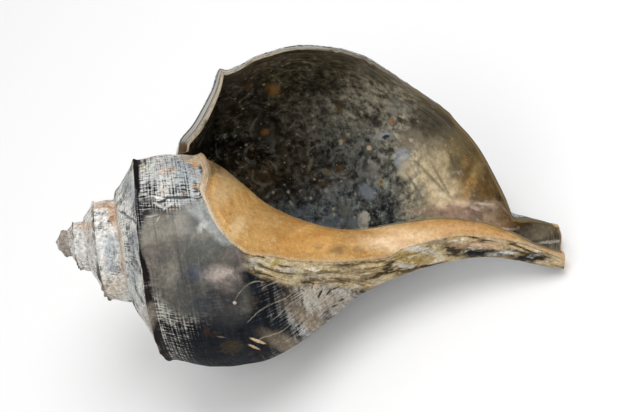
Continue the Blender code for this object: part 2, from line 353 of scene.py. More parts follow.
def hollow_points(outside):
    """The lip's rim and the hollow, as loops from the lip inwards, closer together near it.

    The rim's loops are given turns above 0, from RIM at its outer edge to 0 at its inner one.
    """
    share = np.arange(1, HOLLOW_STEPS + 1) / HOLLOW_STEPS
    turns = np.append(0.0, DEEPEST_TURN * share ** HOLLOW_CROWDING)
    edge = edge_loop(outside)
    loops = [edge]
    for turn in turns:
        reach = ease(0.0, 1.0, min(-turn / GUTTER_TURN, 1.0))
        in_canal = LENGTH - (LENGTH - GUTTER_START) * reach
        corner_x = in_canal if turn > -GUTTER_TURN else hollow_end(turn)
        bend = 0.8 * FLOOR_ROUNDING * min(-turn / GUTTER_TURN, 1.0)
        loops.append(hollow_loop(turn, corner_x, bend))
    ahead = edge - edge_loop(one_step_back(outside))
    ahead /= np.maximum(np.linalg.norm(ahead, axis=1), 1e-6)[:, None]
    thick = np.linalg.norm(loops[1] - edge, axis=1)[:, None]
    loops.insert(1, (edge + loops[1]) / 2 + ahead * np.minimum(RIM_ROUND * thick, 0.4))
    return np.array(loops), np.append((RIM, RIM / 2), turns)


def one_step_back(outside):
    """The outside with its edge rows moved one step back from the rim."""
    back = outside.copy()
    back[0] = outside[1]
    back[1:, -1] = outside[1:, -2]
    return back


def turns_back(count):
    """Turns from 0 backwards, closer together near each whole turn, where the lip and the callus are."""
    part = np.arange(count + 1) / TURN_STEPS
    return -(part - END_CROWDING / (2 * math.pi) * np.sin(2 * math.pi * part))


def lip_wear(points, turn):
    """How much nearer the axis the chipped edge of the outer lip lies, as a share of its radius."""
    x = points[:, 0]
    chips = 0.5 + 0.5 * np.sin(x * 1.3 + 2.0 * np.sin(x * 0.57))
    chips = chips * (0.3 + 0.7 * np.sin(x * 0.33 + 1.0) ** 2)
    chips = chips * (0.3 + 0.7 * ease(82.0, 96.0, x)) * (1 - ease(124.0, 132.0, x))
    away = np.hypot(points[:, 1], points[:, 2]) / np.interp(x, LIP[:, 0], LIP[:, 1])
    return 0.014 * chips * ease(-0.03, 0.0, turn) * ease(0.7, 0.85, away)


def outside_points():
    """The last whorl, from the outer lip back to the inner one, from suture to canal tip."""
    turns = turns_back(TURN_STEPS)
    rows = []
    for turn in turns:
        outline = section(turn, LENGTH)
        rows.append(in_space(outline[:, 0], outline[:, 1], turn))
    return np.array(rows), turns


def spire_points():
    """The older whorls, from suture to suture, back to the first one."""
    turns = turns_back(round(-FIRST_TURN * TURN_STEPS))[TURN_STEPS:]
    rows = []
    for turn in turns:
        lengths = STEPS[: COVER_INDEX + 1]
        grown = GROWTH ** turn
        x = grown * np.interp(lengths, FINE, FINE_X)
        r = grown * np.interp(lengths, FINE, FINE_R)
        rows.append(in_space(x, r, turn))
    return np.array(rows), turns


def add_sheet(bm, points, across, turns, kind, tags):
    """A grid of quads whose corners are moved onto the points and carry where they are on the shell."""
    rows, columns = points.shape[:2]
    made = bmesh.ops.create_grid(bm, x_segments=columns - 1, y_segments=rows - 1, size=1.0)
    place = {}
    for v in made["verts"]:
        i = round((v.co.y + 1) / 2 * (rows - 1))
        j = round((v.co.x + 1) / 2 * (columns - 1))
        v.co = points[i, j]
        v[tags["turn"]] = turns[i]
        v[tags["kind"]] = kind
        v[tags["across"]] = across[j]
        place[v] = (across[j], turns[i])
    faces = {f for v in made["verts"] for f in v.link_faces}
    for face in faces:
        face.material_index = int(kind == HOLLOW_SHEET)
        for loop in face.loops:
            loop[tags["growth"]].uv = place[loop.vert]


def weld_sheets(bm, tags):
    """Joins the sheets where their edges meet. A joined vertex keeps the tags of its outer sheet."""
    bm.verts.index_update()
    doubles = bmesh.ops.find_doubles(bm, verts=bm.verts, dist=WELD)["targetmap"]
    for v in sorted(doubles, key=lambda v: v.index):
        kept = doubles[v]
        if v[tags["kind"]] < kept[tags["kind"]]:
            for name in ("turn", "kind", "across"):
                kept[tags[name]] = v[tags[name]]
    bmesh.ops.weld_verts(bm, targetmap=doubles)


def close_ends(bm):
    """Closes the apex and the deep end of the hollow, each with a fan of faces."""
    loose = [e for e in bm.edges if e.is_boundary]
    made = bmesh.ops.holes_fill(bm, edges=loose, sides=0)
    middles = bmesh.ops.poke(bm, faces=made["faces"])["verts"]
    apex = min(middles, key=lambda v: v.co.x)
    apex.co = (APEX_X, 0.0, 0.0)


def in_picture(points):
    """Where points of the shell's frame are seen in the picture, in its pixels."""
    scale = SIGHT / (SIGHT - points[:, 2]) / MM_PER_PIXEL
    seen_x = PICTURE_MIDDLE[0] + (points[:, 0] - AIM[0]) * scale
    seen_y = PICTURE_MIDDLE[1] - (points[:, 1] - AIM[1]) * scale
    return np.column_stack((seen_x, seen_y))


def beside(seen, line):
    """Pixels from a line in the picture, above 0 to the right of its direction, and how far along."""
    line = np.array(line, float)
    best = np.full(len(seen), 1e9)
    side = np.ones(len(seen))
    along = np.zeros(len(seen))
    for k in range(len(line) - 1):
        step = line[k + 1] - line[k]
        length = math.hypot(*step)
        offset = seen - line[k]
        part = np.clip(offset @ step / length ** 2, 0.0, 1.0)
        gap = np.linalg.norm(offset - part[:, None] * step, axis=1)
        cross = step[0] * offset[:, 1] - step[1] * offset[:, 0]
        near = gap < best
        best = np.where(near, gap, best)
        side = np.where(near, np.sign(cross), side)
        along = np.where(near, (k + part) / (len(line) - 1), along)
    return best * side, along


def relief(points, turn, kind, across):
    """How far each vertex is raised, in mm: growth waves, keel knobs, callus, strands and folds."""
    seen = in_picture(points)
    grown = GROWTH ** turn
    outside = kind < IN_HOLLOW
    circle = 2 * math.pi
    wave = np.sin(circle * (31 * turn + 0.9 * np.sin(circle * 7 * turn) + 0.02 * across))
    wave = wave * (0.6 + 0.4 * np.sin(circle * 5 * turn + 1.0))
    keel = ALONG[KEEL_POINT]
    fade = ease(1.0, 6.0, across) * (1 - ease(95.0, 120.0, points[:, 0]))
    skin = -0.42 * grown + 0.16 * wave * grown * fade
    skin = skin - 0.25 * ease(-0.2, 0.0, turn) * ease(keel, keel + 8, across)
    knobs = np.sin(circle * (17 * turn + 0.35 * np.sin(circle * 5 * turn)))
    size = grown * (0.3 + 1.2 * ease(-1.0, -1.6, turn))
    skin = skin + size * knobs * bump(across - keel, 2.5) * (1 - ease(-0.25, -0.1, turn))
    skin = skin + 0.8 * bump(points[:, 0] - 2.9, 1.6) * (turn < -2.5)
    front = outside & (points[:, 2] > -4.0) & (turn < -0.5) & (turn > -1.001)
    edge, along = beside(seen, CALLUS_EDGE)
    pad = 0.5 * ease(-2.0, 3.0, -edge) * (1 - ease(14.0, 34.0, -edge))
    crest = 1.3 + 1.5 * (1 - ease(0.0, 0.12, along)) - 0.9 * ease(0.25, 0.75, along)
    ridge = crest * bump(edge + 2.5, 2.8) * (1 - ease(0.6, 0.8, along))
    ridge = ridge + 0.35 * bump(edge + 9.5 + 2.0 * np.sin(along * 14), 1.8) * (1 - ease(0.35, 0.6, along))
    hollow_side = -0.35 * bump(edge + 9.0, 4.0) * (1 - ease(0.4, 0.6, along))
    skin = skin + np.where(front, pad + ridge + hollow_side, 0.0)
    top = np.interp(seen[:, 0], *np.transpose(STRANDS_TOP))
    bottom = np.interp(seen[:, 0], *np.transpose(STRANDS_BOTTOM))
    down = (seen[:, 1] - top) / (bottom - top)
    x = seen[:, 0]
    twist = np.sin(circle * (2.4 * down + 0.4 * np.sin(x * 0.045) - x * 0.004))
    lumps = np.sin(x * 0.31 + 5 * down) * np.sin(x * 0.13 + 9 * down)
    strands = (0.22 * twist + 0.14 * lumps) * ease(0.0, 0.12, down) * (1 - ease(0.9, 1.15, down))
    strands = strands * ease(245.0, 300.0, x) * (1 - ease(548.0, 560.0, x))
    skin = skin + np.where(front & (x > 240), strands, 0.0)
    fold, along = beside(seen, CANAL_FOLD)
    inner = 0.55 * bump(fold, 3.5) * np.sin(math.pi * along) ** 0.5
    inner = np.where((kind > IN_HOLLOW) & (turn > -0.34) & (along > 0) & (along < 1), inner, 0.0)
    inner = inner + 0.35 * ease(-0.12, 0.0, turn)
    return np.where(outside, skin, inner)


def lying_pose():
    """From the shell's frame in millimetres to the row's in metres."""
    roll = Matrix.Rotation(math.radians(ROLL_DEG), 4, "X")
    pitch = Matrix.Rotation(math.radians(PITCH_DEG), 4, "Y")
    return Matrix.Scale(MM, 4) @ Matrix.Translation(ORIGIN).inverted() @ pitch @ roll


POSE = lying_pose()


def column(mesh, name):
    values = np.empty(len(mesh.vertices), np.float32)
    mesh.attributes[name].data.foreach_get("value", values)
    return values.astype(float)


def triples(items, name):
    values = np.empty(len(items) * 3, np.float32)
    items.foreach_get(name, values)
    return values.reshape(-1, 3)


def raise_relief(mesh):
    """Moves the vertices along their normals by the relief, and keeps where each lies in the front view."""
    points = triples(mesh.vertices, "co").astype(float)
    turn, kind = column(mesh, "turn"), column(mesh, "kind")
    height = relief(points, turn, kind, column(mesh, "across"))
    points = points + triples(mesh.vertex_normals, "vector") * height[:, None]
    points[:, 1:] *= 1 - lip_wear(points, turn)[:, None]
    mesh.vertices.foreach_set("co", points.ravel())
    seen = in_picture(points)
    corners = np.empty(len(mesh.loops), np.int32)
    mesh.loops.foreach_get("vertex_index", corners)
    front = mesh.uv_layers.new(name="front")
    front.data.foreach_set("uv", seen[corners].ravel())
    mouth_side = mesh.attributes.new("mouth side", "FLOAT", "POINT")
    on_body = (turn < -0.45) & (kind < IN_HOLLOW)
    mouth_side.data.foreach_set("value", np.where(on_body, ease(-9.0, -1.0, points[:, 2]), 0.0))
    mesh.update()


def build_shell():
    bm = bmesh.new()
    tags = {
        "turn": bm.verts.layers.float.new("turn"),
        "kind": bm.verts.layers.float.new("kind"),
        "across": bm.verts.layers.float.new("across"),
        "growth": bm.loops.layers.uv.new("growth"),
    }
    outside, turns = outside_points()
    lengths = np.append(STEPS, STEPS[-1] + TAIL * (LENGTH - BLEND_X))
    add_sheet(bm, outside, lengths, turns, WHORL_SHEET, tags)
    spire, turns = spire_points()
    add_sheet(bm, spire, lengths, turns, SPIRE_SHEET, tags)
    hollow, turns = hollow_points(outside)
    add_sheet(bm, hollow, np.arange(hollow.shape[1]) * 0.5, turns, HOLLOW_SHEET, tags)
    weld_sheets(bm, tags)
    close_ends(bm)
    bmesh.ops.recalc_face_normals(bm, faces=bm.faces)
    mesh = bpy.data.meshes.new("whelk_shell")
    bm.to_mesh(mesh)
    bm.free()
    raise_relief(mesh)
    mesh.transform(POSE)
    mesh.shade_smooth()
    shell = bpy.data.objects.new("whelk_shell", mesh)
    bpy.context.scene.collection.objects.link(shell)
    return shell


def paint(colour):
    """A screen's colour, from 0 to 255, in the shader's own values. A node's output stays as it is."""
    if isinstance(colour, bpy.types.NodeSocket):
        return colour
    parts = [v / 255 for v in colour]
    return tuple(p / 12.92 if p < 0.04 else ((p + 0.055) / 1.055) ** 2.4 for p in parts) + (1.0,)


class Brush:
    """Adds nodes to one node tree. What goes into a node may be a number, a colour or a node's output."""

    def __init__(self, tree):
        self.tree = tree

    def put(self, socket, value):
        if isinstance(value, bpy.types.NodeSocket):
            self.tree.links.new(value, socket)
        else:
            socket.default_value = value

    def node(self, kind, inputs, **settings):
        made = self.tree.nodes.new("ShaderNode" + kind)
        for name, value in settings.items():
            setattr(made, name, value)
        for key, value in inputs.items():
            self.put(made.inputs[key], value)
        return made

    def math(self, operation, a, b=0.0):
        return self.node("Math", {0: a, 1: b}, operation=operation).outputs[0]

    def vector(self, operation, a, b):
        return self.node("VectorMath", {0: a, 1: b}, operation=operation).outputs[0]

    def point(self, x, y):
        return self.node("CombineXYZ", {0: x, 1: y}).outputs[0]

    def group(self, tree, **inputs):
        made = self.node("Group", {}, node_tree=tree)
        for name, value in inputs.items():
            self.put(made.inputs[name], value)
        return made.outputs

    def add(self, a, b):
        return self.math("ADD", a, b)

    def less(self, a, b):
        return self.math("SUBTRACT", a, b)

    def most(self, a, b):
        return self.math("MAXIMUM", a, b)

    def times(self, first, *others):
        for value in others:
            first = self.math("MULTIPLY", first, value)
        return first

    def rise(self, value, low, high, bottom=0.0, top=1.0):
        """bottom up to low, top past high, and a smooth rise between them."""
        inputs = {"Value": value, "From Min": low, "From Max": high, "To Min": bottom, "To Max": top}
        return self.node("MapRange", inputs, interpolation_type="SMOOTHSTEP").outputs[0]

    def band(self, value, low, high, soft):
        """1 between low and high, and 0 outside."""
        up = self.rise(value, low - soft, low + soft)
        return self.times(up, self.rise(value, high + soft, high - soft))

    def mix(self, under, over, share):
        inputs = {0: share, 6: paint(under), 7: paint(over)}
        return self.node("Mix", inputs, data_type="RGBA").outputs[2]

    def tint(self, under, over, value, low, high, top=1.0):
        """Mixes over in where the value rises from low to high, by no more than top."""
        return self.mix(under, over, self.rise(value, low, high, 0.0, top))

    def shade(self, colour, value):
        return self.node("HueSaturation", {"Value": value, "Color": colour}).outputs[0]

    def blend(self, under, over, share):
        return self.node("Mix", {0: share, 2: under, 3: over}, data_type="FLOAT").outputs[0]

    def stretch(self, place, amounts):
        return self.vector("MULTIPLY", place, amounts)

    def noise(self, place, scale, detail=2.0, rough=0.5, swirl=0.0):
        inputs = {"Vector": place, "Scale": scale, "Detail": detail}
        inputs.update({"Roughness": rough, "Distortion": swirl})
        return self.node("TexNoise", inputs).outputs[0]

    def shifted(self, place, scale, amount):
        """The place moved about by noise, so that what is laid there gets a ragged edge."""
        inputs = {"Vector": place, "Scale": scale, "Detail": 3.0}
        drift = self.node("TexNoise", inputs).outputs["Color"]
        drift = self.vector("SUBTRACT", drift, (0.5, 0.5, 0.5))
        return self.vector("ADD", place, self.stretch(drift, (amount, amount, amount)))

    def parts(self, place):
        made = self.node("SeparateXYZ", {0: place})
        return made.outputs[0], made.outputs[1]

    def height_on(self, line, x):
        """The picture height of a line given by points, at the picture's x."""
        points = np.array(line, float)
        low = points.min(axis=0)
        span = np.maximum(points.max(axis=0) - low, 1.0)
        share = self.math("DIVIDE", self.less(x, low[0]), span[0])
        curve = self.tree.nodes.new("ShaderNodeFloatCurve")
        knots = curve.mapping.curves[0].points
        at = (points - low) / span
        knots[0].location = at[0]
        knots[1].location = at[-1]
        for p in at[1:-1]:
            knots.new(*p)
        curve.mapping.update()
        self.put(curve.inputs["Value"], share)
        return self.add(self.times(curve.outputs[0], span[1]), low[1])

    def stroke(self, x, y, line, width, soft):
        """A line through points of the picture, with its ends faded."""
        gap = self.math("ABSOLUTE", self.less(y, self.height_on(line, x)))
        across = self.rise(gap, width + soft, max(width - soft, 0.0))
        return self.times(across, self.band(x, line[0][0], line[-1][0], 2.0))

    def patch(self, place, x, y, reach_x, reach_y, lean=0.0, soft=0.4):
        share = (1 / reach_x, 1 / reach_y, 0.0)
        turned = math.radians(lean)
        return self.group(PATCH, Place=place, Middle=(x, y, 0.0), Share=share, Lean=turned, Soft=soft)[0]

    def lay(self, place, under, patches, cover=1.0):
        """Lays patches of colour one on another. cover lets the ground show through them.

        A patch is (x, y, reach across, reach down, lean in degrees, softness, strength, colour).
        """
        for x, y, reach_x, reach_y, lean, soft, strength, colour in patches:
            mask = self.times(self.patch(place, x, y, reach_x, reach_y, lean, soft), cover)
            under = self.mix(under, colour, self.times(mask, strength))
        return under

    def level(self, place, under, patches):
        """The same for a plain number: (x, y, reach across, reach down, lean, softness, number)."""
        for x, y, reach_x, reach_y, lean, soft, number in patches:
            under = self.blend(under, number, self.patch(place, x, y, reach_x, reach_y, lean, soft))
        return under


def patch_group():
    """A leaning oval with a soft edge: 1 in its middle and 0 outside it."""
    tree = bpy.data.node_groups.new("patch", "ShaderNodeTree")
    for name in ("Place", "Middle", "Share"):
        tree.interface.new_socket(name, in_out="INPUT", socket_type="NodeSocketVector")
    for name in ("Lean", "Soft"):
        tree.interface.new_socket(name, in_out="INPUT", socket_type="NodeSocketFloat")
    tree.interface.new_socket("Mask", in_out="OUTPUT", socket_type="NodeSocketFloat")
    brush = Brush(tree)
    given = tree.nodes.new("NodeGroupInput").outputs
    away = brush.vector("SUBTRACT", given["Place"], given["Middle"])
    turned = brush.node("VectorRotate", {"Vector": away, "Angle": given["Lean"]}, rotation_type="Z_AXIS")
    scaled = brush.stretch(turned.outputs[0], given["Share"])
    far = brush.node("VectorMath", {0: scaled}, operation="LENGTH").outputs["Value"]
    soft = given["Soft"]
    inputs = {"Value": far, "From Min": brush.add(soft, 1.0), "From Max": brush.less(1.0, soft)}
    mask = brush.node("MapRange", inputs, interpolation_type="SMOOTHSTEP").outputs[0]
    brush.put(tree.nodes.new("NodeGroupOutput").inputs[0], mask)
    return tree


def lattice_group():
    """The fine net of spiral threads and growth lines, from 0 to 1, on the growth map."""
    tree = bpy.data.node_groups.new("threads and growth lines", "ShaderNodeTree")
    tree.interface.new_socket("Place", in_out="INPUT", socket_type="NodeSocketVector")
    for name in ("Net", "Growth lines", "Threads"):
        tree.interface.new_socket(name, in_out="OUTPUT", socket_type="NodeSocketFloat")
    brush = Brush(tree)
    place = tree.nodes.new("NodeGroupInput").outputs[0]
    lines = brush.noise(brush.stretch(place, (0.16, 360.0, 1.0)), 1.0, 3.0, 0.7)
    threads = brush.noise(brush.stretch(place, (1.1, 12.0, 1.0)), 1.0, 3.0, 0.65)
    across = brush.parts(place)[0]
    even = brush.math("SINE", brush.add(brush.times(across, 3.4), brush.times(threads, 5.0)))
    threads = brush.add(threads, brush.times(even, 0.05))
    net = brush.add(brush.times(lines, 0.56), brush.times(threads, 0.44))
    out = tree.nodes.new("NodeGroupOutput").inputs
    brush.put(out["Net"], brush.rise(net, 0.36, 0.64))
    brush.put(out["Growth lines"], lines)
    brush.put(out["Threads"], threads)
    return tree


PATCH = patch_group()
LATTICE = lattice_group()

# How chalky the body is: 0 dark and 1 pale, with the net of lines between (as Brush.level reads them)
CHALK = (
    (172, 178, 34, 28, 0, 0.25, 0.72),
    (150, 190, 8, 9, 0, 0.5, 0.42),
    (184, 190, 16, 5, 0, 0.5, 0.55),
    (176, 302, 26, 28, 0, 0.6, 0.58),
    (178, 342, 22, 22, 0, 0.6, 0.36),
    # partly painted shade: the body's underside made darker than its own dark colour
    (228, 345, 38, 24, 0, 0.6, -0.35),
    (250, 300, 17, 34, 20, 0.6, -0.12),
    (266, 328, 16, 12, 0, 0.6, -0.2),
    (283, 300, 22, 24, -30, 0.6, 0.20),
    (326, 296, 30, 18, -22, 0.6, 0.78),
    (310, 328, 34, 10, -32, 0.5, 0.55),
)

# The worn, smooth part of the body, and its light and dark places; two of the light ones are painted
# highlights
WORN_PARTS = (
    (194, 262, 46, 58, 0, 0.16, 1.0),
    (156, 240, 16, 30, 0, 0.2, 1.0),
    (152, 275, 8, 24, -6, 0.3, 0.9),
    (226, 300, 24, 26, 0, 0.35, 0.8),
    (232, 262, 16, 16, 0, 0.3, 1.0),
)
WORN_PATCHES_AND_HIGHLIGHTS = (
    # painted highlight: this pale oval by the keel stands in for a highlight
    (152, 232, 9, 20, 0, 0.7, 0.8, (146, 140, 130)),
    (150, 268, 6, 26, -4, 0.5, 0.8, (104, 92, 88)),
    (152, 247, 9, 3, 0, 0.5, 0.6, (80, 72, 68)),
    (174, 226, 14, 18, -10, 0.8, 0.8, (142, 135, 122)),
    (172, 262, 9, 20, 0, 0.8, 0.6, (98, 94, 84)),
    (172, 218, 3, 14, -14, 0.6, 0.4, (72, 66, 62)),
    (190, 252, 22, 16, 0, 0.8, 0.6, (76, 77, 75)),
    (206, 240, 16, 12, 30, 0.8, 0.7, (100, 104, 102)),
    (180, 290, 14, 16, 0, 0.8, 0.6, (82, 80, 76)),
    (194, 274, 11, 8, 0, 0.9, 0.7, (76, 84, 98)),
    (206, 306, 22, 12, -10, 0.8, 0.8, (46, 52, 62)),
    (222, 300, 16, 12, 0, 0.8, 0.7, (66, 64, 64)),
    # painted highlight: this soft pale oval stands in for the reflection of a light
    (222, 276, 15, 9, 0, 0.75, 0.95, (182, 168, 158)),
    (228, 288, 10, 7, 0, 0.6, 0.7, (138, 128, 120)),
    (244, 266, 8, 14, 10, 0.5, 0.9, (78, 68, 68)),
    (232, 252, 12, 7, 30, 0.5, 0.6, (112, 102, 98)),
    (205, 218, 20, 6, 24, 0.6, 0.5, (66, 66, 68)),
    # partly painted shade: near-black on the body's underside, dark in colour and in shade
    (225, 322, 20, 10, 0, 0.6, 0.85, (28, 30, 36)),
    (208, 222, 4, 12, -24, 0.7, 0.6, (54, 52, 50)),
)
# The part of the body beside the canal that is stained beige, and how much
BEIGE_PARTS = (
    (325, 298, 34, 16, -24, 0.6, 0.55),
    (318, 326, 40, 9, -36, 0.5, 0.7),
    (290, 345, 30, 8, -24, 0.5, 0.5),
)
# Small marks over the body: scratches, chips, spots and the fold where the keel meets the callus
BODY_MARKS = (
    (178, 197.5, 15, 1.6, 0, 0.4, 0.9, (38, 42, 46)),
    (160, 198, 9, 1.0, -14, 0.3, 1.0, (226, 226, 222)),
    (163, 201, 6, 1.6, 30, 0.4, 0.9, (40, 42, 44)),
    (158, 205, 7, 1.3, -30, 0.4, 0.9, (208, 206, 200)),
    (168, 206, 6, 1.4, 35, 0.4, 0.8, (200, 198, 192)),
    (150, 200, 6, 3.0, 0, 0.5, 0.7, (70, 66, 62)),
    (152, 216, 6, 0.9, 10, 0.5, 0.6, (198, 192, 184)),
    (158, 219, 3, 0.8, 60, 0.5, 0.5, (198, 192, 184)),
    (146, 213, 4, 2.4, 0, 0.5, 0.9, (44, 38, 36)),
    (191, 153, 9, 3.2, -8, 0.5, 0.9, (222, 208, 184)),
    (197, 160, 5, 6, 30, 0.5, 0.8, (204, 184, 154)),
    (184, 158, 7, 2.4, 0, 0.6, 0.5, (172, 152, 124)),
    (195, 164, 3, 3, 0, 0.6, 0.7, (186, 130, 80)),
    (189, 161, 3, 1.6, 0, 0.6, 0.6, (196, 150, 104)),
    (202, 227, 4, 6, -25, 0.5, 0.8, (176, 176, 172)),
    (204, 231, 2, 3, 0, 0.4, 0.9, (112, 108, 100)),
    (234.6, 303, 1.8, 1.5, 0, 0.3, 1.0, (192, 182, 170)),
    (221, 337, 4.0, 0.7, -8, 0.5, 0.6, (130, 122, 110)),
    (232, 346, 9, 6, 0, 0.7, 0.8, (64, 56, 40)),
    (258, 341, 8, 1.4, -20, 0.3, 1.0, (214, 184, 148)),
    (254, 347, 6, 1.2, -24, 0.3, 0.9, (196, 168, 134)),
    (313, 285, 1.0, 4.0, -20, 0.3, 0.95, (38, 38, 40)),
    (320, 294, 1.2, 5.0, -30, 0.3, 0.95, (40, 38, 36)),
    (329, 292, 1.0, 4.6, -38, 0.3, 0.9, (44, 42, 40)),
    (336, 288, 4.6, 1.0, 25, 0.3, 0.9, (40, 38, 36)),
    (345, 285, 3.4, 1.1, 20, 0.3, 0.9, (36, 34, 32)),
    (341, 300, 3.6, 1.0, 20, 0.3, 0.9, (46, 42, 38)),
    (334, 306, 3.4, 1.0, 20, 0.3, 0.9, (46, 42, 38)),
    (326, 312, 3.0, 0.9, 25, 0.3, 0.8, (56, 50, 44)),
    (303, 290, 2.0, 0.9, -50, 0.3, 0.7, (60, 58, 54)),
)
# Stains of the spire and of the ramp
SPIRE_PATCHES = (
    (104, 206, 10, 4, 0, 0.6, 0.55, (196, 152, 104)),
    (113, 214, 4, 9, 0, 0.6, 0.6, (188, 140, 92)),
    (117, 232, 3, 12, 8, 0.6, 0.6, (196, 168, 134)),
    (122, 258, 3, 26, 4, 0.6, 0.5, (198, 176, 144)),
    (100, 250, 9, 14, 0, 0.7, 0.5, (222, 222, 220)),
    (112, 244, 8, 12, 0, 0.7, 0.6, (152, 164, 174)),
    (106, 232, 12, 3, 4, 0.6, 0.6, (222, 220, 214)),
    (112, 264, 7, 7, 0, 0.7, 0.6, (140, 150, 158)),
    (112, 288, 12, 9, 10, 0.7, 0.5, (202, 184, 158)),
    (84, 226, 8, 4, 0, 0.6, 0.5, (206, 170, 130)),
    (81, 246, 6, 12, 0, 0.7, 0.6, (222, 222, 220)),
    (89, 240, 3, 22, 6, 0.6, 0.5, (170, 166, 160)),
    (128, 186, 5, 20, 14, 0.6, 0.6, (132, 138, 142)),
    (134, 244, 5, 14, 0, 0.6, 0.6, (112, 118, 122)),
    (128, 217, 12, 1.6, -38, 0.4, 0.8, (82, 84, 86)),
    (134, 275, 5, 10, 0, 0.6, 0.5, (140, 146, 150)),
    (146, 320, 8, 16, -30, 0.6, 0.5, (188, 178, 164)),
)
# Fine cracks in the body, as lines in the picture
BODY_CRACKS = (
    ((235, 300), (240, 292), (246, 286), (254, 282), (264, 282)),
    ((262, 289), (268, 285), (276, 282), (284, 279)),
    ((248, 322), (256, 314), (264, 308), (274, 303), (286, 298), (296, 288), (302, 283)),
    ((256, 342), (262, 338), (272, 335), (282, 331), (292, 323), (302, 315), (312, 309), (322, 302)),
    ((270, 322), (280, 314), (290, 304), (300, 298), (310, 288)),
    ((276, 345), (292, 338), (306, 328), (320, 316), (332, 306), (344, 296)),
    ((284, 352), (300, 343), (316, 331), (330, 320), (344, 308)),
)
# Where the callus ends below: the start of the crust and the strands
CALLUS_BELOW = (
    (206, 205), (225, 236), (240, 249), (252, 255), (264, 256), (276, 257), (293, 261), (320, 262),
    (345, 262), (370, 260), (388, 257), (400, 250), (420, 244), (440, 239), (462, 236), (480, 237),
    (500, 239), (520, 243), (540, 250), (560, 258),
)
# Paler, darker and redder places of the ochre callus, and two pale ovals of painted sheen
CALLUS_PATCHES_AND_SHEEN = (
    (214, 168, 14, 8, 35, 0.6, 0.9, (104, 84, 54)),
    (228, 172, 12, 7, 35, 0.6, 0.6, (150, 130, 104)),
    (222, 192, 9, 16, -30, 0.7, 0.7, (192, 162, 118)),
    (234, 186, 8, 8, 30, 0.7, 0.6, (190, 160, 110)),
    (240, 214, 12, 14, 30, 0.7, 0.5, (188, 150, 96)),
    (262, 214, 18, 9, 38, 0.7, 0.5, (182, 144, 90)),
    (262, 234, 16, 8, 25, 0.6, 0.6, (204, 160, 96)),
    (236, 228, 6, 12, -38, 0.6, 0.5, (222, 196, 152)),
    (300, 240, 34, 12, 8, 0.6, 0.7, (206, 152, 80)),
    (290, 222, 26, 6, 26, 0.6, 0.6, (176, 128, 70)),
    (318, 232, 26, 6, 12, 0.6, 0.5, (184, 132, 72)),
    (330, 249, 20, 8, 0, 0.6, 0.6, (214, 164, 98)),
    (338, 250, 9, 4, 5, 0.9, 0.8, (128, 99, 60)),
    (358, 250, 5, 3, 0, 0.9, 0.6, (134, 108, 68)),
    (318, 246, 4, 2, 0, 0.9, 0.6, (140, 108, 64)),
    (284, 236, 14, 3, 28, 0.9, 0.5, (160, 116, 60)),
    (306, 228, 16, 3, 22, 0.9, 0.5, (214, 170, 108)),
    (362, 236, 22, 5, 0, 0.6, 0.5, (180, 134, 84)),
    # painted sheen: these two pale ovals stand in for a highlight on the glossy callus
    (390, 246, 24, 7, -10, 0.9, 0.8, (240, 210, 172)),
    (412, 236, 28, 7, -14, 0.9, 0.7, (236, 202, 160)),
    (430, 224, 26, 5, -4, 0.6, 0.6, (206, 160, 110)),
    (462, 228, 30, 5, 8, 0.6, 0.6, (202, 158, 112)),
    (496, 236, 22, 5, 10, 0.6, 0.6, (196, 148, 98)),
    (530, 246, 20, 6, 14, 0.6, 0.8, (192, 162, 132)),
    (552, 256, 12, 5, 20, 0.6, 0.7, (176, 146, 118)),
)
# The crust and the strands below the callus
CRUST_PATCHES = (
    (272, 262, 22, 8, 12, 0.4, 0.9, (206, 190, 150)),
    (276, 262, 10, 3, 50, 0.4, 0.8, (172, 144, 72)),
    (262, 257, 8, 2, 20, 0.4, 0.7, (168, 146, 96)),
    (262, 266, 7, 2.2, -20, 0.6, 0.8, (42, 46, 60)),
    (256, 270, 6, 1.6, -30, 0.6, 0.8, (52, 54, 62)),
    (252, 262, 6, 3, 35, 0.4, 0.8, (196, 190, 176)),
    (290, 270, 12, 3, 5, 0.4, 0.7, (214, 206, 188)),
    (315, 266, 22, 2.6, -1, 0.8, 0.8, (206, 186, 150)),
    (330, 271.5, 34, 1.6, 0, 0.9, 0.7, (92, 76, 54)),
    (312, 276, 24, 3.0, 0, 0.9, 0.6, (158, 154, 142)),
    (330, 280.5, 42, 1.6, 0, 0.9, 0.8, (94, 78, 58)),
    (344, 266, 9, 2.4, 0, 0.7, 0.7, (64, 58, 50)),
    (410, 247, 30, 3.6, -12, 0.4, 0.9, (192, 186, 172)),
    (408, 257, 22, 4, -12, 0.4, 0.8, (158, 134, 80)),
    (404, 266, 12, 1.6, -8, 0.4, 0.9, (190, 192, 190)),
    (388, 270, 6, 2.0, 0, 0.4, 0.9, (60, 52, 42)),
    (375, 281, 26, 7, -24, 0.5, 0.8, (122, 104, 74)),
    (371, 287, 5, 2.4, -20, 0.5, 0.9, (200, 158, 104)),
    (440, 243, 22, 3, -8, 0.4, 0.7, (132, 118, 98)),
    (480, 245, 26, 5, 4, 0.5, 0.8, (188, 160, 132)),
    (478, 253, 26, 4.6, -2, 0.6, 1.0, (26, 26, 30)),
    (503, 253, 14, 2.4, 4, 0.6, 0.9, (188, 188, 184)),
    (528, 258, 20, 5.0, 8, 0.6, 1.0, (20, 22, 28)),
    (535, 256, 7, 1.6, 10, 0.4, 0.8, (172, 172, 174)),
    (545, 261, 9, 2.0, 12, 0.4, 0.8, (196, 176, 150)),
    (562, 259, 5, 7, 0, 0.4, 0.8, (206, 180, 142)),
)

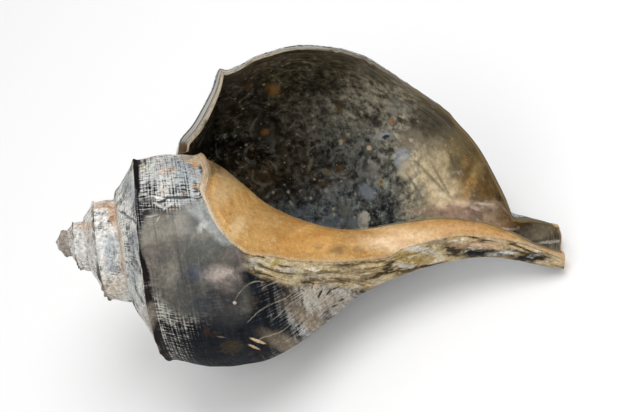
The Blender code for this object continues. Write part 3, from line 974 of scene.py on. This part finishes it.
# Large dark and pale areas inside the mouth
INSIDE_PATCHES = (
    (300, 66, 70, 12, 0, 0.6, 0.7, (66, 58, 44)),
    (312, 82, 42, 26, 0, 0.7, 0.8, (66, 60, 40)),
    (330, 116, 48, 30, 0, 0.8, 0.8, (84, 82, 72)),
    (388, 112, 46, 40, 30, 0.8, 0.9, (152, 145, 126)),
    (360, 150, 34, 30, 0, 0.7, 0.8, (74, 78, 76)),
    (318, 168, 30, 26, 0, 0.7, 0.5, (44, 46, 44)),
    (262, 120, 30, 30, 0, 0.8, 0.4, (48, 42, 32)),
    (330, 206, 56, 20, 10, 0.8, 0.85, (72, 80, 84)),
    (386, 196, 28, 30, 0, 0.8, 0.85, (86, 89, 86)),
    (232, 108, 20, 26, 20, 0.8, 0.6, (62, 56, 44)),
    (290, 182, 22, 16, 30, 0.8, 0.6, (60, 56, 46)),
    (356, 112, 22, 18, 0, 0.8, 0.6, (132, 127, 112)),
    (322, 196, 20, 12, 0, 0.6, 0.5, (98, 100, 98)),
    (404, 150, 26, 34, 0, 0.8, 0.8, (146, 142, 128)),
    (430, 152, 26, 26, 0, 0.8, 0.9, (172, 160, 132)),
    (440, 186, 26, 30, 0, 0.7, 0.9, (218, 197, 157)),
    (412, 200, 14, 26, 10, 0.6, 0.7, (124, 118, 100)),
    (438, 116, 26, 18, 30, 0.7, 0.9, (84, 80, 68)),
    (462, 142, 12, 22, -30, 0.7, 0.8, (140, 122, 82)),
    (470, 170, 12, 24, -30, 0.7, 0.8, (152, 124, 76)),
    (484, 158, 7, 26, -28, 0.6, 0.8, (184, 158, 104)),
    (488, 190, 14, 16, -30, 0.6, 0.85, (128, 102, 62)),
    (468, 188, 5, 14, -25, 0.5, 0.8, (186, 144, 84)),
    (456, 168, 8, 10, 0, 0.6, 0.7, (92, 82, 62)),
    (470, 206, 36, 5, 0, 0.6, 0.8, (202, 174, 144)),
    (460, 213, 42, 6, -3, 0.6, 0.85, (146, 117, 98)),
    (500, 214, 24, 6, 20, 0.5, 0.8, (174, 146, 114)),
    (504, 224, 22, 7, 8, 0.5, 0.9, (146, 114, 76)),
    (540, 230, 18, 9, 10, 0.5, 0.9, (158, 144, 118)),
    (208, 152, 9, 9, 0, 0.5, 1.0, (8, 7, 6)),
)
# Where pale crust is left on it, and how much
INSIDE_CRUSTS = (
    (398, 160, 20, 14, 30, 0.6, 0.75),
    (356, 192, 26, 10, 10, 0.7, 0.5),
    (372, 206, 18, 12, 0, 0.7, 0.55),
    (384, 134, 16, 9, 10, 0.7, 0.6),
    (392, 104, 20, 10, 30, 0.7, 0.6),
    (350, 96, 30, 8, 10, 0.7, 0.35),
    (330, 214, 30, 8, 14, 0.7, 0.35),
    (240, 90, 20, 14, -30, 0.7, 0.25),
)
# Spots, specks, scratches and grooves inside, painted glints on the canal's fold, and pale lines along the
# rims of the canal that are painted highlights
INSIDE_MARKS_AND_GLINTS = (
    (273, 90, 6, 5, 0, 0.8, 0.9, (158, 116, 62)),
    (247, 86, 4, 3.6, 0, 0.6, 0.7, (104, 70, 36)),
    (265, 133, 12, 12, 0, 0.5, 0.5, (72, 68, 58)),
    (265, 132, 4, 3.4, 0, 0.5, 0.9, (156, 112, 66)),
    (392, 122, 3.4, 3, 0, 0.5, 0.9, (200, 150, 108)),
    (369, 148, 5, 5, 0, 0.5, 0.7, (122, 122, 114)),
    (369, 148, 2.6, 2.4, 0, 0.4, 1.0, (226, 196, 156)),
    (252, 149, 2.4, 2, 0, 0.4, 0.8, (150, 120, 86)),
    (341, 142, 2.2, 3, 0, 0.4, 0.9, (196, 178, 150)),
    (345, 138, 4, 2, 0, 0.5, 0.8, (120, 84, 40)),
    (386, 136, 6, 3.5, 10, 0.4, 0.8, (196, 200, 204)),
    (386, 137, 4, 2.0, 10, 0.4, 1.0, (52, 60, 66)),
    (410, 140, 12, 10, 0, 0.5, 0.7, (170, 156, 134)),
    (411, 140, 2, 2, 0, 0.4, 0.9, (220, 206, 184)),
    (402, 155, 8, 6, 30, 0.4, 0.9, (188, 196, 202)),
    (406, 170, 8, 9, 10, 0.35, 1.0, (206, 192, 162)),
    (408, 170, 2.4, 2.4, 0, 0.4, 0.9, (180, 150, 110)),
    (398, 164, 3, 7, 20, 0.4, 0.8, (170, 180, 188)),
    (381, 182, 3.4, 3.4, 0, 0.4, 0.9, (178, 158, 118)),
    (381, 182, 1.8, 1.8, 0, 0.4, 0.9, (120, 100, 74)),
    (372, 170, 8, 6, 60, 0.5, 0.5, (150, 148, 140)),
    (367, 192, 6, 9, 40, 0.4, 0.7, (150, 158, 166)),
    (363, 222, 5.4, 9, 8, 0.2, 1.0, (190, 184, 168)),
    (366, 216, 3.6, 6, 30, 0.2, 1.0, (190, 184, 168)),
    (354, 224, 5, 6, 0, 0.6, 0.7, (120, 126, 128)),
    (330, 224, 22, 5, 12, 0.9, 0.6, (112, 120, 126)),
    (300, 212, 10, 4, 25, 0.5, 0.6, (104, 112, 120)),
    (327, 172, 6, 3, -20, 0.4, 0.7, (136, 122, 100)),
    (310, 165, 2, 8, -20, 0.4, 0.6, (146, 134, 112)),
    (340, 168, 3, 4, 0, 0.5, 0.7, (110, 76, 36)),
    (268, 178, 9, 7, 0, 0.5, 0.6, (70, 52, 22)),
    (256, 176, 3, 5, 0, 0.5, 0.5, (84, 66, 32)),
    (228, 107, 9, 7, 0, 0.5, 0.5, (74, 66, 54)),
    (334, 86, 6, 5, 0, 0.4, 0.7, (24, 22, 18)),
    (344, 97, 4, 2, 10, 0.4, 0.8, (188, 172, 146)),
    (340, 107, 5, 5, 0, 0.5, 0.7, (96, 76, 36)),
    (398, 106, 12, 9, -20, 0.5, 0.5, (164, 164, 156)),
    (388, 68, 16, 6, 32, 0.5, 0.5, (134, 126, 110)),
    (352, 92, 12, 4, 0, 0.5, 0.4, (120, 112, 94)),
    (441, 194, 2.2, 2.2, 0, 0.4, 0.9, (232, 216, 190)),
    (428, 174, 26, 1.5, -46, 0.6, 0.7, (104, 94, 72)),
    (441, 180, 20, 1.3, -60, 0.6, 0.65, (112, 98, 72)),
    (452, 160, 14, 1.2, -70, 0.6, 0.6, (108, 96, 70)),
    (415, 186, 16, 1.4, -56, 0.6, 0.6, (84, 80, 66)),
    (466, 176, 4, 8, -20, 0.7, 0.6, (96, 74, 44)),
    (458, 196, 6, 3, 20, 0.7, 0.6, (92, 74, 48)),
    # painted glints: white specks on the canal's glossy fold
    (475, 208, 5, 2, -20, 0.4, 0.9, (214, 186, 172)),
    (485, 204, 9, 1.4, -5, 0.4, 0.9, (212, 200, 190)),
    # painted highlights: pale lines along the rims of the glossy canal
    (505, 229, 12, 1.4, 0, 0.4, 0.9, (214, 190, 160)),
    (550, 242, 11, 1.6, 5, 0.4, 0.9, (214, 206, 194)),
)
# Ring scars inside: (x, y, reach across, reach down)
RING_SCARS = (
    (325, 207, 11, 12), (295, 65, 20, 6), (265, 172, 13, 13), (320, 155, 13, 11), (228, 105, 9, 8),
    (342, 165, 12, 14), (268, 130, 18, 18), (225, 148, 9, 12), (365, 158, 15, 18), (285, 120, 12, 12),
    (408, 170, 10, 11),
)
RING_WIDTH = 0.84


def outside_colour(brush, place, growth, front):
    """Colour, roughness, height and gloss of the outside.

    What is marked with sides is there only on the body's side that the picture shows.
    """
    mix, tint, blend, rise, noise = brush.mix, brush.tint, brush.blend, brush.rise, brush.noise
    add, less, times, most = brush.add, brush.less, brush.times, brush.most
    lay, level = brush.lay, brush.level
    sides = brush.node("Attribute", {}, attribute_name="mouth side").outputs["Fac"]
    net, lines, threads = brush.group(LATTICE, Place=growth)
    across, turn = brush.parts(growth)
    ragged = brush.shifted(front, 0.16, 9.0)
    broken = brush.shifted(front, 0.5, 3.0)
    x, y = brush.parts(front)
    ragged_x, ragged_y = brush.parts(broken)
    mottle = noise(place, 90.0, 4.0, 0.6)
    cloud = noise(place, 28.0, 3.0, 0.55)
    grain = noise(place, 900.0, 2.0, 0.6)

    # chalk over a dark ground, with the net of lines between the two
    keel = ALONG[KEEL_POINT]
    ramp = rise(across, keel + 0.6, keel - 0.6)
    spire = rise(turn, -0.99, -1.01)
    bands = noise(brush.stretch(growth, (0.09, 26.0, 1.0)), 1.0, 3.0, 0.6)
    anywhere = rise(cloud, 0.36, 0.62, 0.26, 0.7)
    chalk = blend(anywhere, level(ragged, 0.34, CHALK), sides)
    chalk = blend(chalk, rise(bands, 0.38, 0.58, 0.42, 0.95), ramp)
    chalk = blend(chalk, rise(bands, 0.4, 0.54, 0.46, 1.02), spire)
    edge = less(add(net, times(grain, 0.4)), 0.2)
    gap = less(edge, less(1.0, chalk))
    pale_share = rise(gap, -0.25, 0.28)
    pale = tint((208, 206, 200), (166, 172, 174), cloud, 0.46, 0.62)
    pale = tint(pale, (206, 192, 166), mottle, 0.54, 0.72)
    pale = tint((78, 82, 84), pale, chalk, 0.08, 0.62)
    # darker towards the bottom of the body's front: partly its own duller tone, partly painted shade where
    # the body turns away from the light
    lower_tone_and_shade = times(rise(y, 236.0, 280.0, 0.0, 0.85), sides, rise(x, 310.0, 280.0))
    dimmed_and_shaded_pale = tint((176, 172, 162), (108, 107, 104), x, 184.0, 212.0)
    pale = mix(pale, dimmed_and_shaded_pale, times(lower_tone_and_shade, rise(across, keel - 1.0, keel + 1.0)))
    pale = mix(pale, (232, 228, 222), times(spire, 0.75))
    dark = mix((8, 8, 10), (28, 34, 42), net)
    dark = tint(dark, (44, 36, 30), mottle, 0.55, 0.75)
    dark = tint(dark, (74, 82, 88), chalk, 0.45, 0.8)
    dark = mix(dark, (86, 90, 92), times(ramp, 0.85))
    dark = mix(dark, (104, 106, 108), times(spire, 0.9))
    colour = mix(dark, pale, pale_share)
    height = add(times(lines, 0.5), times(threads, 0.6))

    # black band along the keel, thin on the older whorls; on the spire it also stands in for the shade
    # under each whorl's step, as painted shade
    edging = times(brush.band(across, keel - 2.0, keel - 0.9, 0.5), 0.45)
    colour = mix(colour, (196, 190, 180), edging)
    anyhow = rise(noise(brush.stretch(growth, (0.0, 6.0, 1.0)), 1.0, 2.0), 0.35, 0.65, 0.6, 3.0)
    upper = rise(y, 202.0, 190.0, 0.0, 3.4)
    lower_width = rise(y, 246.0, 275.0, 0.9, 3.6)
    seen_here = times(sides, rise(x, 118.0, 128.0))
    width = blend(anyhow, most(upper, lower_width), seen_here)
    # partly painted shade: on the spire the band's width and olive-dark colour stand in for the shade under
    # each whorl's step
    width = blend(width, 2.4, spire)
    wobble = times(less(noise(growth, 3.0, 3.0), 0.5), 2.4)
    under = less(add(across, wobble), keel - 0.7)
    keel_band_and_step_shade = times(rise(less(under, width), 0.9, -0.3), rise(under, -0.9, -0.1))
    black = tint((14, 13, 14), (40, 32, 31), y, 250.0, 300.0, 0.7)
    black = mix(black, (66, 62, 54), spire)
    broken_band = rise(mottle, 0.25, 0.45, 0.5, 1.0)
    broken_band = blend(broken_band, rise(mottle, 0.42, 0.56, 0.2, 0.9), spire)
    colour = mix(colour, black, times(keel_band_and_step_shade, broken_band))

    # rust on the spire and along the suture
    rust = rise(noise(place, 260.0, 4.0, 0.75), 0.54, 0.64)
    rust = times(rust, rise(cloud, 0.4, 0.54), less(1.0, lower_tone_and_shade))
    next_suture = ALONG[KEEL_POINT + 2] + 4.0
    near_next = rise(across, next_suture, next_suture + 8.0)
    near_suture = most(rise(across, 5.0, 0.0), near_next)
    rust_share = times(rust, most(spire, times(near_suture, 0.6)))
    colour = mix(colour, (176, 124, 78), times(rust_share, 0.8))
    colour = mix(colour, lay(ragged, colour, SPIRE_PATCHES), sides)
    colour = mix(colour, (156, 144, 132), times(rise(turn, -3.0, -3.6), 0.7))
    tip = times(rise(turn, -4.2, -4.5), rise(mottle, 0.4, 0.6))
    colour = mix(colour, (226, 222, 214), tip)

    # the worn smooth part of the body with its painted highlights, and the film beside the callus
    worn = times(level(ragged, 0.0, WORN_PARTS), sides, rise(under, width, add(width, 0.8)))
    streak = noise(brush.stretch(growth, (0.42, 7.0, 1.0)), 1.0, 5.0, 0.7)
    swell = noise(place, 60.0, 5.0, 0.7, 0.4)
    smooth = lay(ragged, (82, 80, 73), WORN_PATCHES_AND_HIGHLIGHTS, rise(swell, 0.36, 0.54, 0.6, 1.0))
    smooth = tint(smooth, (40, 39, 40), swell, 0.5, 0.62, 0.55)
    smooth = tint(smooth, (146, 139, 126), swell, 0.47, 0.34, 0.5)
    smooth = tint(smooth, (46, 44, 43), streak, 0.47, 0.34, 0.5)
    smooth = tint(smooth, (144, 138, 128), streak, 0.55, 0.7, 0.3)
    colour = mix(colour, smooth, worn)
    callus_x = brush.height_on([(b, a) for a, b in CALLUS_EDGE[:11]], y)
    beside_callus = less(ragged_x, callus_x)
    reach = rise(y, 196.0, 226.0, -32.0, -14.0)
    film = rise(beside_callus, reach, add(reach, 12.0))
    film = times(film, brush.band(y, 199.0, 246.0, 4.0), sides, rise(mottle, 0.35, 0.6, 0.25, 0.85))
    colour = mix(colour, (162, 166, 164), film)

    # marks and cracks
    colour = mix(colour, (150, 134, 112), times(level(ragged, 0.0, BEIGE_PARTS), sides))
    near = brush.shifted(front, 0.35, 1.6)
    colour = mix(colour, lay(near, colour, BODY_MARKS), sides)
    near_x, near_y = brush.parts(near)
    for line in BODY_CRACKS:
        crack = brush.stroke(near_x, near_y, line, 0.5, 0.7)
        crack = times(crack, sides, rise(mottle, 0.4, 0.58, 0.05, 0.7))
        colour = mix(colour, (164, 156, 138), crack)

    # strands and crust below the callus
    below = brush.height_on(CALLUS_BELOW, x)
    under_callus = less(ragged_y, below)
    top = brush.height_on(STRANDS_TOP, x)
    bottom = brush.height_on(STRANDS_BOTTOM, x)
    down = brush.math("DIVIDE", less(y, top), less(bottom, top))
    strand = brush.point(times(x, 0.045), times(down, 4.2))
    fibre = noise(strand, 0.9, 6.0, 0.66, 0.5)
    rope = tint((92, 74, 48), (190, 168, 126), fibre, 0.4, 0.54)
    drifted = brush.shifted(front, 0.22, 7.0)
    rope = lay(drifted, rope, CRUST_PATCHES, rise(fibre, 0.3, 0.5, 0.4, 1.0))
    rope = tint(rope, (222, 214, 196), fibre, 0.56, 0.66, 0.75)
    rope = tint(rope, (40, 34, 30), fibre, 0.44, 0.36, 0.75)
    rope = tint(rope, (54, 56, 62), noise(strand, 2.3, 4.0, 0.7), 0.58, 0.66, 0.7)
    rope = tint(rope, (198, 182, 146), mottle, 0.58, 0.66, 0.6)
    crust = times(rise(under_callus, -1.0, 1.0), rise(down, 1.5, 1.0), rise(x, 236.0, 262.0), sides)
    colour = mix(colour, rope, crust)
    height = blend(height, add(times(fibre, 2.4), times(mottle, 1.0)), crust)

    # the callus, with its painted sheen
    in_from_edge = brush.math("MINIMUM", beside_callus, times(under_callus, -1.0))
    flow = brush.point(times(x, 0.034), times(in_from_edge, 0.085))
    veins = noise(flow, 1.6, 7.0, 0.78, 0.3)
    ochre = tint((180, 135, 74), (200, 160, 100), veins, 0.42, 0.62)
    ochre = tint(ochre, (164, 112, 52), veins, 0.47, 0.33, 0.6)
    ochre = lay(ragged, ochre, CALLUS_PATCHES_AND_SHEEN)
    ochre = tint(ochre, (152, 108, 58), mottle, 0.56, 0.7, 0.45)
    ochre = tint(ochre, (226, 196, 150), mottle, 0.42, 0.3, 0.4)
    flecks = noise(place, 330.0, 5.0, 0.75)
    ochre = tint(ochre, (122, 88, 46), flecks, 0.56, 0.7, 0.5)
    ochre = tint(ochre, (232, 204, 158), flecks, 0.44, 0.32, 0.35)
    rim = times(rise(beside_callus, 11.0, 4.0), rise(y, 262.0, 240.0))
    cords = noise(brush.point(times(y, 0.02), times(beside_callus, 0.5)), 1.0, 4.0, 0.7)
    hem = times(rise(under_callus, -5.0, -1.0), rise(x, 236.0, 250.0))
    cream = tint((222, 206, 180), (176, 148, 112), cords, 0.44, 0.6)
    cream = tint(cream, (132, 106, 76), cords, 0.42, 0.34, 0.8)
    ochre = mix(ochre, cream, times(most(rim, times(hem, 0.4)), 0.85))
    on_callus = times(rise(beside_callus, -1.5, 0.5), rise(under_callus, 0.8, -0.8), sides)
    colour = mix(colour, ochre, on_callus)
    ripple = add(times(veins, 0.5), times(cords, rim, 1.6))
    height = blend(height, add(ripple, times(mottle, 0.3)), on_callus)
    height = blend(height, times(mottle, 0.4), worn)

    # fine speckle over everything, and how dull and glossy each part is
    speckle = add(times(grain, 0.6), times(noise(place, 2200.0, 2.0, 0.6), 0.4))
    swing = blend(0.34, 0.16, most(on_callus, times(worn, 0.6)))
    swing = blend(swing, 0.36, spire)
    value = add(1.0, times(rise(speckle, 0.3, 0.7, -1.0, 1.0), swing))
    colour = brush.shade(colour, value)
    roughness = blend(rise(mottle, 0.3, 0.7, 0.6, 0.85), rise(mottle, 0.3, 0.7, 0.3, 0.5), worn)
    roughness = blend(roughness, rise(mottle, 0.3, 0.7, 0.34, 0.5), on_callus)
    gloss = most(times(worn, 0.35), times(on_callus, 0.3))
    return colour, roughness, height, gloss


def inside_colour(brush, place, growth, front):
    """Colour, roughness, height and gloss of the inside of the mouth and of the lip's rim."""
    mix, tint, rise, noise, lay = brush.mix, brush.tint, brush.rise, brush.noise, brush.lay
    add, less, times = brush.add, brush.less, brush.times
    ragged = brush.shifted(front, 0.12, 16.0)
    broken = brush.shifted(front, 0.45, 3.0)
    bent = brush.shifted(front, 0.08, 9.0)
    x = brush.parts(front)[0]
    turn = brush.parts(growth)[1]
    mottle = noise(place, 120.0, 5.0, 0.7, 0.5)
    cloud = noise(place, 45.0, 4.0, 0.6, 0.4)
    fine = noise(place, 420.0, 3.0, 0.7)
    calm = rise(x, 400.0, 432.0, 1.0, 0.3)
    colour = tint((26, 22, 17), (72, 62, 46), cloud, 0.36, 0.66)
    colour = lay(ragged, colour, INSIDE_PATCHES)

    # mottling, grime and crust
    colour = brush.shade(colour, add(1.0, times(rise(mottle, 0.32, 0.68, -0.5, 0.85), calm)))
    colour = brush.shade(colour, add(1.0, times(rise(fine, 0.34, 0.66, -0.7, 0.9), calm)))
    grime = noise(place, 160.0, 5.0, 0.75, 1.2)
    colour = mix(colour, (126, 124, 112), times(rise(grime, 0.52, 0.66, 0.0, 0.65), calm))
    brown = noise(place, 70.0, 4.0, 0.7, 0.8)
    colour = tint(colour, (96, 72, 36), brown, 0.6, 0.74, 0.6)
    colour = mix(colour, (8, 8, 9), times(rise(grime, 0.42, 0.32, 0.0, 0.55), calm))
    colour = tint(colour, (196, 190, 176), fine, 0.6, 0.72, 0.6)
    crust = rise(noise(place, 230.0, 6.0, 0.8, 1.0), 0.53, 0.6)
    crust = times(crust, brush.level(ragged, 0.0, INSIDE_CRUSTS))
    colour = mix(colour, (184, 186, 182), crust)

    # pale specks, ring scars and single marks, among them painted glints and highlights in the canal
    cells = brush.node("TexVoronoi", {"Vector": place, "Scale": 410.0})
    chance, size = brush.parts(cells.outputs["Color"])
    size = rise(size, 0.3, 1.0, 0.1, 0.3)
    dot = times(rise(cells.outputs["Distance"], size, times(size, 0.5)), rise(chance, 0.6, 0.62))
    colour = mix(colour, (200, 184, 152), times(dot, 0.75))
    for scar_x, scar_y, reach_x, reach_y in RING_SCARS:
        outer = brush.patch(bent, scar_x, scar_y, reach_x, reach_y, 0.0, 0.08)
        inner = brush.patch(bent, scar_x, scar_y, reach_x * RING_WIDTH, reach_y * RING_WIDTH, 0.0, 0.08)
        ring = times(less(outer, inner), rise(mottle, 0.42, 0.6))
        colour = mix(colour, (138, 134, 124), times(ring, 0.75))
    colour = lay(broken, colour, INSIDE_MARKS_AND_GLINTS, rise(grime, 0.36, 0.52, 0.5, 1.0))

    # growth lines near the lip, its cream edge and its layered rim
    streaks = noise(brush.stretch(growth, (0.12, 260.0, 1.0)), 1.0, 3.0)
    near_lip = rise(turn, -0.1, -0.02)
    ridges = times(near_lip, rise(streaks, 0.46, 0.6), rise(x, 310.0, 350.0, 0.35, 0.75))
    colour = mix(colour, (144, 134, 112), ridges)
    grooves = times(near_lip, rise(streaks, 0.46, 0.34), rise(x, 380.0, 430.0, 0.2, 0.7))
    colour = mix(colour, (74, 58, 34), grooves)
    cream = tint((206, 192, 168), (132, 122, 104), x, 270.0, 330.0)
    cream = tint(cream, (128, 106, 66), x, 380.0, 450.0)
    cream = tint(cream, (104, 90, 70), mottle, 0.46, 0.64)
    colour = tint(colour, cream, turn, -0.003, -0.001)
    layers = noise(brush.stretch(growth, (0.05, 600.0, 1.0)), 1.0, 4.0, 0.7)
    slate = tint((66, 64, 62), (176, 172, 164), layers, 0.42, 0.56)
    slate = tint(slate, (74, 66, 52), x, 300.0, 400.0, 0.7)
    slate = tint(slate, (96, 84, 58), x, 420.0, 460.0, 0.8)
    slate = tint(slate, (48, 44, 40), turn, RIM * 0.8, RIM * 0.98)
    slate = tint(slate, (214, 176, 130), x, 550.0, 556.0, 0.8)
    slate = mix(slate, (84, 66, 44), brush.patch(broken, 183, 149, 6, 7, 0.0, 0.4))
    hem = rise(mottle, 0.35, 0.6, RIM * 0.08, RIM * 0.3)
    colour = tint(colour, slate, turn, hem, add(hem, RIM * 0.14))
    roughness = rise(mottle, 0.3, 0.7, 0.3, 0.55)
    height = add(times(mottle, 1.2), times(fine, 0.4))
    return colour, roughness, height, rise(mottle, 0.3, 0.6, 0.1, 0.4)


def new_material(name, looks, depth):
    """A material whose colour, roughness, height and gloss the function looks gives."""
    material = bpy.data.materials.new(name)
    material.use_nodes = True
    brush = Brush(material.node_tree)
    place = brush.node("TexCoord", {}).outputs["Object"]
    growth = brush.node("UVMap", {}, uv_map="growth").outputs[0]
    front = brush.node("UVMap", {}, uv_map="front").outputs[0]
    colour, roughness, height, gloss = looks(brush, place, growth, front)
    raised = brush.node("Bump", {"Strength": 1.0, "Distance": depth, "Height": height}).outputs[0]
    surface = material.node_tree.nodes["Principled BSDF"].inputs
    inputs = {"Base Color": colour, "Roughness": roughness, "Coat Weight": gloss, "Normal": raised}
    inputs.update({"Coat Roughness": COAT_ROUGHNESS, "Specular IOR Level": SPECULAR})
    for socket, value in inputs.items():
        brush.put(surface[socket], value)
    return material


def in_row(x, up, out):
    return POSE @ Vector((x, up, out))


def add_camera():
    """The photo's view: straight at the mouth, with the shell's axis level in the picture."""
    camera = bpy.data.objects.new("camera", bpy.data.cameras.new("camera"))
    bpy.context.scene.collection.objects.link(camera)
    camera.data.lens = LENS
    camera.data.sensor_width = SENSOR
    turned = POSE.to_3x3().normalized()
    camera.matrix_world = Matrix.Translation(in_row(*AIM, SIGHT)) @ turned.to_4x4()
    bpy.context.scene.camera = camera


def add_light(name, place, size, power):
    data = bpy.data.lights.new(name, "AREA")
    data.shape = "DISK"
    data.size = size
    data.energy = power
    light = bpy.data.objects.new(name, data)
    bpy.context.scene.collection.objects.link(light)
    at = in_row(*place)
    light.location = at
    light.rotation_mode = "QUATERNION"
    light.rotation_quaternion = (in_row(*LIGHT_AIM) - at).to_track_quat("-Z", "Y")


def add_stage():
    bm = bmesh.new()
    bmesh.ops.create_grid(bm, x_segments=1, y_segments=1, size=FLOOR_REACH)
    mesh = bpy.data.meshes.new("floor")
    bm.to_mesh(mesh)
    bm.free()
    material = bpy.data.materials.new("floor")
    material.use_nodes = True
    surface = material.node_tree.nodes["Principled BSDF"]
    surface.inputs["Base Color"].default_value = (0.95, 0.95, 0.95, 1.0)
    surface.inputs["Roughness"].default_value = 0.9
    mesh.materials.append(material)
    floor = bpy.data.objects.new("floor", mesh)
    bpy.context.scene.collection.objects.link(floor)
    world = bpy.data.worlds.new("studio")
    world.use_nodes = True
    sky = world.node_tree.nodes["Background"].inputs
    sky["Color"].default_value = (1.0, 1.0, 1.0, 1.0)
    sky["Strength"].default_value = SKY
    bpy.context.scene.world = world
    bpy.context.scene.view_settings.view_transform = "Standard"
    for light in LIGHTS:
        add_light(*light)


shell = build_shell()
shell.data.materials.append(new_material("outside", outside_colour, OUTSIDE_GRAIN))
shell.data.materials.append(new_material("inside", inside_colour, INSIDE_GRAIN))
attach(shell, "root")
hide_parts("shell")
add_stage()
add_camera()
